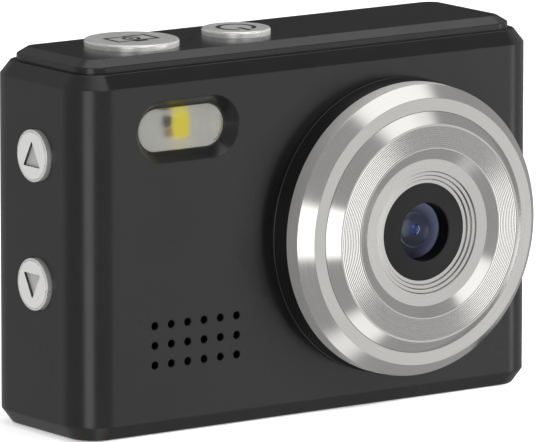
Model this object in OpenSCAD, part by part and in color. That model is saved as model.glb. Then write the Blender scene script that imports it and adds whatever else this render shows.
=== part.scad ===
// Compact digital camera: black moulded case, stepped metal lens ring at the
// front, flash window, speaker grille, two round keys on the side, shutter and
// power buttons on the raised deck, and a screen with four keys at the back.
// +Z is up, the lens looks along -Y, and the origin is the middle of the base.

/* [Case] */
// Width of the case
case_w = 90; // [88:0.5:94]
// Depth of the case, front face to back face
case_d = 27.5; // [27.5:0.1:28.5]
// Height of the case without the raised deck
case_h = 58.65; // [58.55:0.05:59.5]
// Radius of the four upright corners
corner_r = 6.4; // [5.8:0.1:6.8]
// Inset of the bevels round the base and the top
bevel_in = 1.67; // [1.4:0.01:2]
// Height of the bevel round the base
bevel_base = 2.3; // [2:0.1:2.6]
// Height of the bevel round the top
bevel_top = 2.15; // [1.8:0.05:2.4]
// Wall thickness of the case
wall = 1.8; // [1.6:0.1:1.9]

/* [Deck] */
// Ledge left between the case edge and the deck
deck_in = 2.5; // [2.2:0.1:2.8]
// Height of the deck's upright edge
deck_wall = 1.05; // [1:0.05:1.4]
// Height of the deck's sloped edge
deck_rise = 1.1; // [1:0.05:1.2]
// Width of the deck's sloped edge
deck_slope = 1.8; // [1.4:0.1:2]

/* [Lens] */
// Sideways position of the lens axis
lens_x = 15.7; // [15:0.1:16]
// Height of the lens axis
lens_z = 29.3; // [29:0.1:29.8]
// Radius of the black collar on the front face
collar_r = 24.2; // [24.1:0.1:24.6]
// Radius of the widest metal ring
ring_r = 23.87; // [23.7:0.01:24]
// Radius of the dark aperture in the face plate
aperture_r = 4.85; // [4.5:0.05:4.9]
// Number of fine turned grooves on the stepped ring
grooves = 12; // [8:1:14]

/* [Flash and speaker] */
// Sideways position of the flash window
flash_x = -24.7; // [-25:0.1:-24.4]
// Height of the flash window
flash_z = 48.85; // [48.6:0.05:49]
// Pitch of the speaker holes
grille_pitch = 3.18; // [3:0.02:3.3]
// Diameter of one speaker hole
grille_hole = 1.3; // [1:0.1:1.5]

/* [Buttons] */
// Sideways position of the shutter button
shutter_x = -26.1; // [-26.5:0.1:-25.6]
// Radius of the shutter button
shutter_r = 7.65; // [7:0.05:7.7]
// Sideways position of the power button
power_x = -5.7; // [-6:0.1:-5.4]
// Radius of the power button
power_r = 5.6; // [5:0.05:5.7]
// Height of the upper side key
up_z = 44.85; // [44.6:0.05:44.9]
// Height of the lower side key
down_z = 24.15; // [23.9:0.05:24.4]
// Offset of the side keys from the middle of the case depth
key_y = -0.65; // [-0.8:0.05:0]
// Radius of the side keys
key_r = 4.2; // [4:0.05:4.25]
// Radius of the four keys on the back
rear_key_r = 3.5; // [3.2:0.05:3.55]

/* [Mounting] */
// Minor radius of the tripod thread, 1/4 inch 20 turns per inch
tripod_r = 2.55; // [2.5:0.01:2.6]
// Depth of the tripod socket
tripod_depth = 8; // [6:0.5:8]

/* [Hidden] */
$fn = 96;
F = -case_d/2;               // front face
B = case_d/2;                // back face
XI = case_w/2 - wall;        // inner side faces
ZD = case_h + deck_wall + deck_rise;   // top of the deck
BLACK = "#38383a";
SILVER = "#c6c5c3";
STEEL = "#a9abae";
PCB = "#1f5a3a";
cover_y = B - 2;             // seat of the back cover
pcb_y = 7.7;                 // front face of the main board
pcb_t = 1.0;
batt_x = -20.0;              // middle of the battery
hinge_y = 7.9;
hinge_z = 1.2;
rear_keys_x = -28.5;
rear_z = [44.5, 34.5, 24.5, 14.5];
case_bosses = [[-38.5, 6.6], [38.5, 6.6], [-38.5, 52], [38.5, 52]];
board_posts = [[1, 7.2], [28, 7.2], [9.5, 51.8], [28, 51.8]];
top_posts = [-37.6, 5];

// ---------- shared shapes ----------

// Box with round upright corners and bevels all round its base and top
module rbox(w, d, h, r, ci = 0, cb = 0, ct = 0, ti = -1) {
  tin = ti < 0 ? ci : ti;
  hw = w/2; hd = d/2;
  translate([-(hw - r), 0, 0]) rotate([90, 0, 90]) linear_extrude(w - 2*r)
    polygon(concat([[-hd + (cb > 0 ? ci : 0), 0], [hd - (cb > 0 ? ci : 0), 0]],
      cb > 0 ? [[hd, cb]] : [], ct > 0 ? [[hd, h - ct]] : [],
      [[hd - (ct > 0 ? tin : 0), h], [-hd + (ct > 0 ? tin : 0), h]],
      ct > 0 ? [[-hd, h - ct]] : [], cb > 0 ? [[-hd, cb]] : []));
  translate([0, hd - r, 0]) rotate([90, 0, 0]) linear_extrude(d - 2*r)
    polygon(concat([[-hw + (cb > 0 ? ci : 0), 0], [hw - (cb > 0 ? ci : 0), 0]],
      cb > 0 ? [[hw, cb]] : [], ct > 0 ? [[hw, h - ct]] : [],
      [[hw - (ct > 0 ? tin : 0), h], [-hw + (ct > 0 ? tin : 0), h]],
      ct > 0 ? [[-hw, h - ct]] : [], cb > 0 ? [[-hw, cb]] : []));
  for (c = [[1, 1, 0], [-1, 1, 90], [-1, -1, 180], [1, -1, 270]])
    translate([c[0]*(hw - r), c[1]*(hd - r), 0]) rotate([0, 0, c[2]])
      rotate_extrude(angle = 90)
        polygon(concat([[0, 0], [r - (cb > 0 ? ci : 0), 0]],
          cb > 0 ? [[r, cb]] : [], ct > 0 ? [[r, h - ct]] : [],
          [[r - (ct > 0 ? tin : 0), h], [0, h]]));
}

// Upright-standing plate, w along X and h along Z, with round corners
module plate_y(x, z, w, h, y0, y1, r) {
  translate([x, y1, z]) rotate([90, 0, 0]) rbox(w, h, y1 - y0, r);
}

// Flat-ended bar along X, as wide as its round ends, standing in the XZ plane
module capsule(x, z, w, h, y0, y1) {
  for (s = [-1, 1]) translate([x + s*(w - h)/2, y1, z]) rotate([90, 0, 0])
    cylinder(r = h/2, h = y1 - y0);
  translate([x - (w - h)/2, y0, z - h/2]) cube([w - h, y1 - y0, h]);
}

// The same bar narrowing from its front to its back
module capsule_taper(x, z, w0, h0, w1, h1, y0, y1) {
  l = (w0 - h0)/2;
  for (s = [-1, 1]) translate([x + s*l, y1, z]) rotate([90, 0, 0])
    cylinder(r1 = h1/2, r2 = h0/2, h = y1 - y0);
  translate([x - l, 0, z]) rotate([90, 0, 90]) linear_extrude(2*l)
    polygon([[y0, -h0/2], [y1, -h1/2], [y1, h1/2], [y0, h0/2]]);
}

module box(x0, x1, y0, y1, z0, z1)
  translate([x0, y0, z0]) cube([x1 - x0, y1 - y0, z1 - z0]);

// Local frame of the lens: z runs forwards from the front face
module at_lens() translate([lens_x, F, lens_z]) rotate([90, 0, 0]) children();

// Turned ring from a list of radius and height points
module turned(pts) rotate_extrude() polygon(pts);

// Cylinder along Y
module cyl_y(x, z, y0, y1, r) translate([x, y1, z]) rotate([90, 0, 0])
  cylinder(r = r, h = y1 - y0);
// Cylinder along X
module cyl_x(y, z, x0, x1, r) translate([x0, y, z]) rotate([0, 90, 0])
  cylinder(r = r, h = x1 - x0);

// Glass lens with one domed side: the rim is edge high and the dome is bulge high
module lens_glass(r, edge, bulge) {
  R = (r*r + bulge*bulge)/(2*bulge);
  intersection() {
    cylinder(r = r, h = edge + bulge + 0.5);
    translate([0, 0, edge + bulge - R]) sphere(r = R);
  }
}

// ---------- casing ----------

module main_shell() color(BLACK) difference() {
  union() {
    difference() {
      rbox(case_w, case_d, case_h, corner_r, bevel_in, bevel_base, bevel_top);
      // inside of the case
      translate([0, (F + wall + cover_y - 1.5)/2, wall])
        rbox(2*XI, cover_y - 1.5 - F - wall, case_h - 2*wall, corner_r - wall);
      // step and seat for the back cover
      plate_y(0, case_h/2, 80.2, 48.8, cover_y - 2, cover_y + 0.5, 2.5);
      plate_y(0, case_h/2, 83.2, 51.8, cover_y, B + 1, 3.5);
    }
    // thicker wall round the flash window
    box(flash_x - 11.3, flash_x + 11.3, F + wall - 0.2, F + 3.4, flash_z - 6.2, flash_z + 6.2);
    // screw bosses of the back cover
    for (p = case_bosses) cyl_y(p[0], p[1], F + wall - 0.2, cover_y, 2.0);
    // posts of the main board
    for (p = board_posts) cyl_y(p[0], p[1], F + wall - 0.2, pcb_y, 1.6);
    // posts of the top switch board
    for (x = top_posts) translate([x, 0, 49.9]) cylinder(r = 1.8, h = 7.2);
    // ribs that hold the side switch board
    box(-XI - 0.2, -39.2, -2, 2, 16.4, 17.95);
    box(-41.2, -39.25, -2, 2, 47.55, case_h - wall + 0.2);
    // boss of the tripod socket
    translate([lens_x, 0, wall - 0.2]) cylinder(r = 6, h = tripod_depth);
    // lugs of the battery door hinge
    box(batt_x - 19.4, batt_x - 17.1, 6.4, 9.6, wall - 0.2, 3.2);
    box(batt_x + 17.1, batt_x + 19.4, 6.4, 9.6, wall - 0.2, 3.2);
    // stop of the battery door
    box(batt_x - 10, batt_x + 10, -6.2, -2.4, wall - 0.05, 2.5);
    // block round the strap recess
    box(40.3, XI + 0.2, -3.7, 3.7, 44.3, 54.7);
  }
  // lens opening
  cyl_y(lens_x, lens_z, F - 1, F + 4, 20);
  // flash pocket
  capsule_taper(flash_x, flash_z, 19.7, 10.2, 17.8, 8.3, F, F + 2);
  capsule(flash_x, flash_z, 17.2, 7.7, F + 1.9, F + 5);
  // speaker holes
  for (i = [0:5], j = [0:2])
    cyl_y(-31.25 + i*grille_pitch, 17.8 - j*grille_pitch, F - 1, F + 4, grille_hole/2);
  // side key holes
  cyl_x(key_y, up_z, -case_w/2 - 1, -XI + 1, key_r + 0.1);
  cyl_x(key_y, down_z, -case_w/2 - 1, -XI + 1, key_r + 0.1);
  // opening under the deck
  box(-35.4, 2.6, -9, 9, case_h - wall - 1, case_h + 1);
  // screw pilots
  for (p = case_bosses) cyl_y(p[0], p[1], cover_y - 9, cover_y + 1, 0.75);
  for (p = board_posts) cyl_y(p[0], p[1], pcb_y - 6, pcb_y + 1, 0.75);
  for (x = top_posts) translate([x, 0, 49]) cylinder(r = 0.75, h = 6);
  // tripod socket seat
  translate([lens_x, 0, -1]) cylinder(r = 4.2, h = tripod_depth + 1);
  // battery door opening and hinge pin holes
  box(batt_x - 17.1, batt_x + 17.1, -3.6, hinge_y + 1.3, -1, wall + 0.2);
  cyl_x(hinge_y, hinge_z, batt_x - 18.95, batt_x + 18.95, 0.52);
  // strap recess and the holes of its bar
  box(41.5, case_w/2 + 1, -2.5, 2.5, 45.5, 53.5);
  translate([43.9, 0, 44.7]) cylinder(r = 0.72, h = 9.6);
  // charging port and card slot
  translate([XI - 1, 6.0, 36]) rotate([0, 90, 0]) rbox(9.6, 3.8, 5, 1.85);
  box(XI - 1, case_w/2 + 1, 5.95, 7.35, 17, 29);
}

module rear_cover() color(BLACK) difference() {
  // its ends follow the round corners of the case
  intersection() {
    plate_y(0, case_h/2, 83, 51.6, cover_y, B + 1, 3.4);
    rbox(case_w, case_d, case_h, corner_r);
  }
  // seat of the screen window and the opening under it
  plate_y(11.5, case_h/2, 54.2, 42.2, B - 1.3, B + 1, 2.1);
  plate_y(11.5, case_h/2, 50.4, 38.4, cover_y - 1, B, 1.2);
  for (z = rear_z) cyl_y(rear_keys_x, z, cover_y - 1, B + 1, rear_key_r + 0.1);
  for (p = case_bosses) {
    cyl_y(p[0], p[1], cover_y - 1, B + 1, 0.9);
    cyl_y(p[0], p[1], B - 1.15, B + 1, 1.6);
  }
  cyl_y(rear_keys_x, 50.9, cover_y - 1, B + 1, 0.85);
}

module top_cover() color(BLACK) difference() {
  translate([0, 0, case_h])
    rbox(case_w - 2*deck_in, case_d - 2*deck_in, deck_wall + deck_rise,
         corner_r - deck_in, 0, 0, deck_rise, deck_slope);
  translate([0, 0, case_h - 1])
    rbox(case_w - 2*deck_in - 3.2, case_d - 2*deck_in - 3.2, 1.7, corner_r - deck_in - 1.6);
  translate([shutter_x, 0, case_h - 1]) cylinder(r = shutter_r + 0.1, h = 5);
  translate([power_x, 0, case_h - 1]) cylinder(r = power_r + 0.1, h = 5);
  // sound hole of the microphone
  translate([-14.8, 0, case_h - 1]) cylinder(r = 0.45, h = 5);
}

// ---------- lens ----------

module lens_collar() color(BLACK) at_lens() difference() {
  union() {
    difference() {
      turned([[7.6, -wall], [19.9, -wall], [19.9, 0], [collar_r, 0],
        [collar_r, 0.3], [collar_r - 0.25, 0.55], [23.4, 3.5], [22.3, 3.5], [22.3, 5.65],
        [20.95, 7], [8.2, 7], [8.2, 1.2], [7.6, 1.2]]);
      // hollow at the back
      turned([[10, -wall - 1], [18, -wall - 1], [18, 5.4], [10, 5.4]]);
    }
    for (s = [-1, 1]) translate([s*11.9, 0, -11]) cylinder(r = 1.8, h = 17);
  }
  for (s = [-1, 1]) translate([s*11.9, 0, -12]) cylinder(r = 0.75, h = 7);
}

// widest ring: upright rim, turned bevel and flat
module lens_outer_ring() color(SILVER) at_lens()
  turned([[22.35, 3.5], [ring_r, 3.5], [ring_r - 0.15, 6.28], [21.72, 8.27],
    [19.6, 8.33], [19.6, 7.05], [20.97, 7.05], [22.35, 5.68]]);

// second bevel and the finely grooved face
groove_r0 = 17.35;
groove_r1 = 14.0;
groove_p = (groove_r0 - groove_r1)/grooves;
module lens_groove_ring() color(SILVER) at_lens()
  turned(concat([[13.75, 7.05], [19.55, 7.05], [19.55, 8.35], [17.75, 9.95],
    [17.6, 10.05]],
    [for (i = [0:grooves - 1], k = [0, 1])
      [groove_r0 - (i + 0.5*k)*groove_p, k == 0 ? 10.0 : 9.86]],
    [[groove_r1, 10.0], [13.9, 10.08], [13.75, 10.08]]));

// inner bevel, flat, and the small steps down to the face plate
module lens_inner_ring() color(SILVER) at_lens()
  turned([[9.2, 7.05], [13.7, 7.05], [13.7, 10.05], [11.97, 9.18], [9.99, 9.1],
    [9.8, 8.86], [9.36, 8.78], [9.18, 8.54], [8.72, 8.46], [8.54, 8.22],
    [7.95, 8.1], [7.95, 7.6], [9.2, 7.6]]);

module lens_face_plate() color("#2c2c2e") at_lens()
  turned([[aperture_r, 5.4], [5.9, 5.4], [5.9, 7.05], [9.1, 7.05], [9.1, 7.5],
    [7.9, 7.5], [7.9, 8.0], [aperture_r + 0.2, 8.0], [aperture_r, 7.85]]);

module lens_barrel() color("#202022") at_lens()
  turned([[3.6, -7], [6.0, -7], [6.0, 4.4], [5.6, 5.3], [4.6, 5.3], [4.6, 4.0],
    [3.6, 4.0], [3.6, 0.8], [2.6, 0.8], [2.6, -1.5], [3.6, -1.5]]);

module front_element() color("#31477e") at_lens() translate([0, 0, 4.6])
  lens_glass(4.55, 1.0, 1.2);
// baffle behind the front glass, with the small stop at its middle
module barrel_spacer() color("#202022") at_lens() translate([0, 0, 4.0])
  difference() {
    cylinder(r = 4.55, h = 0.55);
    translate([0, 0, -1]) cylinder(r = 0.8, h = 4);
    translate([0, 0, 0.35]) cylinder(r = 1.3, h = 1);
  }
module middle_element() color("#5a6d9c") at_lens() translate([0, 0, 0.8])
  lens_glass(3.5, 2.2, 0.7);
module rear_element() color("#5a6d9c") at_lens() translate([0, 0, -1.5])
  mirror([0, 0, 1]) lens_glass(3.5, 1.8, 0.7);

module lens_holder() color("#202022") at_lens() difference() {
  union() {
    translate([0, 0, -9]) cylinder(r = 7.2, h = 7);
    translate([-8, -8, -11]) cube([16, 16, 2.6]);
  }
  translate([0, 0, -7.5]) cylinder(r = 6.05, h = 6);
  translate([0, 0, -9.5]) cylinder(r = 3.6, h = 3);
  translate([-4.8, -4.8, -12]) cube([9.6, 9.6, 3.1]);
}
module ir_filter() color("#9fd3d6") at_lens()
  translate([-4.3, -4.3, -9.3]) cube([8.6, 8.6, 0.4]);
module image_sensor() color("#3d4350") at_lens() {
  translate([-4.2, -4.2, -11]) cube([8.4, 8.4, 0.9]);
  translate([-3.2, -2.6, -10.1]) cube([6.4, 5.2, 0.2]);
}
module sensor_board() color(PCB) at_lens() difference() {
  union() {
    translate([-8.6, -8.6, -12]) cube([17.2, 17.2, 1]);
    translate([-13.8, -2.2, -12]) cube([27.6, 4.4, 1]);
  }
  for (s = [-1, 1]) translate([s*11.9, 0, -13]) cylinder(r = 0.9, h = 3);
}
module sensor_flex() color("#c77f2a") difference() {
  box(18, 30.4, F + 12, pcb_y, 22.3, 26.1);
  box(17, 30.2, F + 12.2, pcb_y + 1, 21, 29);
}

// ---------- flash, speaker and microphone ----------

module flash_window() color("#d9dad6") {
  capsule(flash_x, flash_z, 16.6, 7.2, F + 1.9, F + 3.4);
  capsule(flash_x, flash_z, 18.6, 9.1, F + 3.4, F + 4);
}
module flash_reflector() color("#e6e6e2") difference() {
  box(flash_x - 9.6, flash_x + 9.6, F + 4, F + 6.5, flash_z - 4.9, flash_z + 4.9);
  box(flash_x - 8.6, flash_x + 8.6, F + 3, F + 5.9, flash_z - 3.9, flash_z + 3.9);
}
module flash_led() color("#e5da57") {
  box(-24.1, -21.15, F + 5.1, F + 5.9, flash_z - 2.65, flash_z + 2.65);
  box(-26.2, -25.0, F + 5.3, F + 5.9, flash_z + 0.1, flash_z + 1.6);
}
module flash_board() color(PCB)
  box(flash_x - 10.2, flash_x + 10.2, F + 6.5, F + 7.3, flash_z - 5.6, flash_z + 5.6);

grille_cx = -31.25 + 2.5*grille_pitch;
grille_cz = 17.8 - grille_pitch;
module speaker() color("#2a2a2c") {
  difference() {
    plate_y(grille_cx, grille_cz, 20, 14, F + 2.15, F + 4.2, 3);
    plate_y(grille_cx, grille_cz, 17.4, 11.4, F + 1, F + 3.1, 2);
  }
  cyl_y(grille_cx, grille_cz, F + 4.2, F + 6.4, 5.2);
}
module speaker_mesh() color("#1b1b1c")
  plate_y(grille_cx, grille_cz, 19.4, 13.4, F + wall, F + wall + 0.35, 2.8);
module microphone() color(STEEL) translate([-14.8, 0, 49.9]) {
  cylinder(r = 2, h = 1.6);
  difference() {
    translate([0, 0, 1.6]) cylinder(r = 1.8, h = 7.6);
    translate([0, 0, 1.6]) cylinder(r = 0.6, h = 8);
  }
}

// ---------- boards and display ----------

module main_board() color(PCB) difference() {
  plate_y(0, case_h/2, 79.8, 48.2, pcb_y, pcb_y + pcb_t, 1.5);
  for (p = case_bosses) cyl_y(p[0], p[1], pcb_y - 1, pcb_y + 3, 2.5);
  for (p = board_posts) cyl_y(p[0], p[1], pcb_y - 1, pcb_y + 3, 0.9);
}
module processor() color("#26262a")
  box(4, 17, pcb_y - 1.2, pcb_y, 30, 43);
module board_parts() color("#55585c") {
  box(6, 13, pcb_y - 0.9, pcb_y, 20, 26);
  box(20, 25, pcb_y - 2.2, pcb_y, 36, 41);
  for (i = [0:4]) box(3 + i*2.6, 4.6 + i*2.6, pcb_y - 0.7, pcb_y, 45, 45.9);
  for (i = [0:3]) box(24 + i*2.4, 25.2 + i*2.4, pcb_y - 0.8, pcb_y, 46.5, 48.5);
  box(26.2, 30.6, pcb_y - 1, pcb_y, 30.8, 33);
}
module lcd_frame() color("#8d8f93") difference() {
  box(-15, 38, pcb_y + 1.15, pcb_y + 3.85, 8.95, 49.65);
  box(-14, 37, pcb_y + 1.75, pcb_y + 5, 9.95, 48.65);
}
module lcd_panel() color("#15171c")
  box(-13.9, 36.9, pcb_y + 1.75, pcb_y + 3.75, 10.05, 48.55);
module lcd_flex() color("#c77f2a") difference() {
  box(3, 19, pcb_y - 0.35, pcb_y + 1.15, 4.3, 12);
  box(2, 20, pcb_y - 0.1, pcb_y + 1.02, 4.55, 13);
}
module screen_window() color("#0c0d10")
  plate_y(11.5, case_h/2, 54, 42, B - 1.3, B - 0.1, 2.0);
module status_light() color("#d8d8d0")
  cyl_y(rear_keys_x, 50.9, pcb_y + pcb_t + 1, B - 0.05, 0.8);

// ---------- power ----------

module battery_bay() color("#222224") difference() {
  box(batt_x - 16.4, batt_x + 16.4, -0.5, pcb_y, 2.6, 45.2);
  box(batt_x - 15.7, batt_x + 15.7, 0.7, 7.1, 1, 44.1);
}
module battery() color("#4d6f9b")
  translate([batt_x, 3.9, 2.4]) rbox(31, 6, 40, 1.4);
module battery_contacts() color("#b89a4a") {
  box(batt_x - 7, batt_x + 7, 1.2, 6.6, 43.0, 44.1);
  for (i = [-1:1]) box(batt_x + i*4.5 - 0.8, batt_x + i*4.5 + 0.8, 2.6, 5.2, 42.4, 43.0);
}
module battery_door() color(BLACK) difference() {
  union() {
    box(batt_x - 17, batt_x + 17, -3.5, hinge_y, 0, 1.6);
    cyl_x(hinge_y, hinge_z, batt_x - 17, batt_x + 17, hinge_z);
  }
  cyl_x(hinge_y, hinge_z, batt_x - 18, batt_x + 18, 0.55);
  // thumb notch
  box(batt_x - 5, batt_x + 5, -2.6, -1.2, -1, 0.6);
}
module door_pin() color(STEEL)
  cyl_x(hinge_y, hinge_z, batt_x - 18.9, batt_x + 18.9, 0.5);

// ---------- sockets and fasteners ----------

module card_socket() color(STEEL) difference() {
  box(30.8, XI - 0.6, 5.6, pcb_y - 0.1, 16.8, 29.2);
  box(32, XI + 1, 6.15, 7.15, 17.35, 28.65);
}
module usb_port() color(STEEL) {
  difference() {
    translate([37.4, 6.0, 36]) rotate([0, 90, 0]) rbox(9, 3.2, 7.3, 1.58);
    translate([38.4, 6.0, 36]) rotate([0, 90, 0]) rbox(8.4, 2.6, 8, 1.28);
  }
  box(38.3, 43.9, 5.65, 6.35, 32.65, 39.35);
}
module screw(h, r = 0.72, head = 1.5) {
  cylinder(r = r, h = h);
  difference() {
    translate([0, 0, h]) cylinder(r = head, h = 0.9);
    for (a = [0, 90]) rotate([0, 0, a])
      translate([-head*0.6, -0.2, h + 0.45]) cube([head*1.2, 0.4, 1]);
  }
}
module case_screws() color(STEEL) for (p = case_bosses)
  translate([p[0], B - 1.15 - 9, p[1]]) rotate([-90, 0, 0]) screw(9);
module board_screws() color(STEEL) {
  for (p = board_posts) translate([p[0], pcb_y + pcb_t - 5.5, p[1]])
    rotate([-90, 0, 0]) screw(5.5, 0.72, 1.4);
  for (s = [-1, 1]) at_lens() translate([s*11.9, 0, -6.5])
    rotate([180, 0, 0]) screw(5.5, 0.72, 1.4);
  for (x = top_posts) translate([x, 0, 53.9]) rotate([180, 0, 0]) screw(5.0, 0.72, 1.4);
}
module tripod_nut() color("#b9a36a") difference() {
  translate([lens_x, 0, 0]) cylinder(r = 4.17, h = tripod_depth - 0.05);
  translate([lens_x, 0, -1]) cylinder(r = tripod_r, h = tripod_depth + 2);
}
module strap_bar() color(STEEL)
  translate([43.9, 0, 44.75]) cylinder(r = 0.7, h = 9.5);

// ---------- buttons ----------

// Camera sign: a frame with a hump and a ring
module camera_sign(s) scale(s) {
  difference() {
    square([7, 4.4], center = true);
    square([6.1, 3.5], center = true);
  }
  translate([-1.1, 2.15]) square([2.2, 0.75]);
  difference() { circle(r = 1.25); circle(r = 0.75); }
}
// Power sign: an open ring and a bar
module power_sign(s) scale(s) {
  difference() {
    circle(r = 2.3);
    circle(r = 1.75);
    translate([-0.75, 0]) square([1.5, 4]);
  }
  translate([-0.28, 0.5]) square([0.56, 2.3]);
}

module top_cap(x, r) {
  translate([x, 0, 0]) {
    turned([[0, case_h + 0.75], [r, case_h + 0.75], [r, ZD + 0.82], [r - 0.18, ZD + 1], [0, ZD + 1]]);
    translate([0, 0, case_h - 0.1]) cylinder(r = r + 0.9, h = 0.75);
    translate([0, 0, 54.2]) cylinder(r = 2, h = case_h - 54.2);
  }
}
module top_cap_flat(x, r) {
  top_cap(x, r);
  translate([x, 0, case_h + 0.6]) cylinder(r = r - 0.4, h = 0.3);
}
module shutter_button() color(SILVER) difference() {
  top_cap_flat(shutter_x, shutter_r);
  translate([shutter_x, 0, ZD + 0.85]) rotate([0, 0, 180]) linear_extrude(1) camera_sign(1);
}
module power_button() color(SILVER) difference() {
  top_cap_flat(power_x, power_r);
  translate([power_x, 0, ZD + 0.85]) rotate([0, 0, 180]) linear_extrude(1) power_sign(1);
}
module plunger(x) color("#1b1b1c") translate([x, 0, 51]) cylinder(r = 1.7, h = 3.2);
module shutter_plunger() plunger(shutter_x);
module power_plunger() plunger(power_x);

module top_switches() color("#4b4d50") for (x = [shutter_x, power_x]) difference() {
  box(x - 3, x + 3, -3, 3, 49.9, 53.4);
  translate([x, 0, 50.3]) cylinder(r = 1.8, h = 5);
}
module top_board() color(PCB) difference() {
  box(-39.1, 7, -4, 4, 48.9, 49.9);
  for (x = top_posts) translate([x, 0, 48]) cylinder(r = 0.9, h = 3);
}

// side key with its sunk arrow, pressed along +X
module side_key(z, tip) color(SILVER) difference() {
  union() {
    translate([-case_w/2 - 0.9, key_y, z]) rotate([0, 90, 0])
      turned([[0, 0], [key_r - 0.2, 0], [key_r, 0.2], [key_r, 2.9], [5.0, 2.9],
        [5.0, 3.5], [1, 3.5], [1, 4.5], [0, 4.5]]);
  }
  translate([-case_w/2 - 1.9, key_y, z]) rotate([90, 0, 90]) linear_extrude(1.35)
    polygon([[-2.32, -1.75*tip], [2.32, -1.75*tip], [0, 2.35*tip]]);
}
module up_button() side_key(up_z, 1);
module down_button() side_key(down_z, -1);

module side_switches() color("#4b4d50") for (z = [up_z, down_z]) difference() {
  box(-41.7, -40.5, key_y - 2.4, key_y + 2.4, z - 2.4, z + 2.4);
  cyl_x(key_y, z, -42, -40.9, 1.3);
}
module side_board() color(PCB) box(-40.5, -39.7, -4, 4, 18, 47.5);

// back key with its sunk sign, pressed along -Y
module rear_key(z) color(SILVER) difference() {
  translate([rear_keys_x, 0, z]) rotate([90, 0, 0])
    turned([[0, -B - 0.6], [rear_key_r - 0.2, -B - 0.6], [rear_key_r, -B - 0.4],
      [rear_key_r, -11.5], [4.3, -11.5], [4.3, -10.9], [1, -10.9], [1, -9.7], [0, -9.7]]);
  translate([rear_keys_x, B + 1.6, z]) rotate([90, 0, 0]) mirror([1, 0, 0])
    linear_extrude(1.15) children();
}
module menu_button() rear_key(rear_z[0])
  for (i = [-1:1]) translate([0, i*1.15]) square([3.2, 0.5], center = true);
module mode_button() rear_key(rear_z[1]) difference() {
  circle(r = 1.8);
  circle(r = 1.25);
}
module play_button() rear_key(rear_z[2])
  polygon([[-1.1, -1.6], [-1.1, 1.6], [1.7, 0]]);
module delete_button() rear_key(rear_z[3])
  for (a = [45, 135]) rotate(a) square([3.8, 0.55], center = true);

module rear_switches() color("#4b4d50") for (z = rear_z) difference() {
  box(rear_keys_x - 2.4, rear_keys_x + 2.4, pcb_y + pcb_t, pcb_y + pcb_t + 1.5, z - 2.4, z + 2.4);
  cyl_y(rear_keys_x, z, pcb_y + pcb_t + 0.5, pcb_y + pcb_t + 4, 1.3);
}

main_shell();
rear_cover();
top_cover();
lens_collar();
lens_outer_ring();
lens_groove_ring();
lens_inner_ring();
lens_face_plate();
lens_barrel();
front_element();
barrel_spacer();
middle_element();
rear_element();
lens_holder();
ir_filter();
image_sensor();
sensor_board();
sensor_flex();
flash_window();
flash_reflector();
flash_led();
flash_board();
speaker();
speaker_mesh();
microphone();
main_board();
processor();
board_parts();
lcd_frame();
lcd_panel();
lcd_flex();
screen_window();
status_light();
battery_bay();
battery();
battery_contacts();
battery_door();
door_pin();
card_socket();
usb_port();
case_screws();
board_screws();
tripod_nut();
strap_bar();
shutter_button();
shutter_plunger();
power_button();
power_plunger();
up_button();
down_button();
menu_button();
mode_button();
play_button();
delete_button();
top_switches();
top_board();
side_switches();
side_board();
rear_switches();
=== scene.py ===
import math
import bpy
import numpy as np
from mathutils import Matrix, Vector, geometry


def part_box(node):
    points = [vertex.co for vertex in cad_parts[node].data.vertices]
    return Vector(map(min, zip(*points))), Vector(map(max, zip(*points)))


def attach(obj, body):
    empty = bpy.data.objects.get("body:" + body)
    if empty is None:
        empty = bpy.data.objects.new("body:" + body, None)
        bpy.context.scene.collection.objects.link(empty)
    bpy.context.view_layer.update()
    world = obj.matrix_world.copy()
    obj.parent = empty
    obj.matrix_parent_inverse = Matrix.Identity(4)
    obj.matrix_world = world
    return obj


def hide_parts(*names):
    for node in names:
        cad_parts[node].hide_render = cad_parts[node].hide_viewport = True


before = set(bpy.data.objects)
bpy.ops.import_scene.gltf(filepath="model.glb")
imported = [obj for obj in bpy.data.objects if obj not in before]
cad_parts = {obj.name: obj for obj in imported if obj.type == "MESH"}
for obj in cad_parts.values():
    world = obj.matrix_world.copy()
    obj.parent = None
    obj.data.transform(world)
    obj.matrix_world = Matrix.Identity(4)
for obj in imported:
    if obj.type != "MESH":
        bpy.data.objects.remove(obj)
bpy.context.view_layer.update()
scene = bpy.context.scene


def mm(node):
    """Corners of a CAD node's box in millimetres."""
    lo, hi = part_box(node)
    return np.array(lo) * 1000.0, np.array(hi) * 1000.0


def mid(node):
    lo, hi = mm(node)
    return (lo + hi) / 2


_lo, _hi = mm("main_shell")
W, F, B, ZC = _hi[0], _lo[1], _hi[1], _hi[2]
ZD = mm("top_cover")[1][2]
LX, LZ = mid("lens_outer_ring")[0], mid("lens_outer_ring")[2]
FX, FZ = mid("flash_window")[0], mid("flash_window")[2]
CR = 6.0                     # corner radius of the case

# ------------------------------------------------------------------ camera

CAM = Vector((-0.79901, -1.11612, 0.27371))
AIM = Vector((0.000641, 0.0, 0.029464))
cam_data = bpy.data.cameras.new("camera")
cam = bpy.data.objects.new("camera", cam_data)
scene.collection.objects.link(cam)
cam_data.sensor_fit = "HORIZONTAL"
cam_data.sensor_width = 36.0
cam_data.lens = 578.9
cam_data.clip_start, cam_data.clip_end = 0.05, 30.0
cam.location = CAM
cam.rotation_mode = "QUATERNION"
cam.rotation_quaternion = (AIM - CAM).to_track_quat("-Z", "Y")
scene.camera = cam

# ------------------------------------------------------------------ meshes


class Plane:
    """A plane with its own axes: u and v lie in it and t is the height off it."""

    def __init__(self, o, u, v, n):
        self.o, self.u, self.v, self.n = (np.array(x, float) for x in (o, u, v, n))

    def at(self, uv, t):
        return self.o + uv[:, :1] * self.u + uv[:, 1:2] * self.v + t * self.n

    def way(self, nuv, nt):
        return nuv[:, :1] * self.u + nuv[:, 1:2] * self.v + nt * self.n


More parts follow.
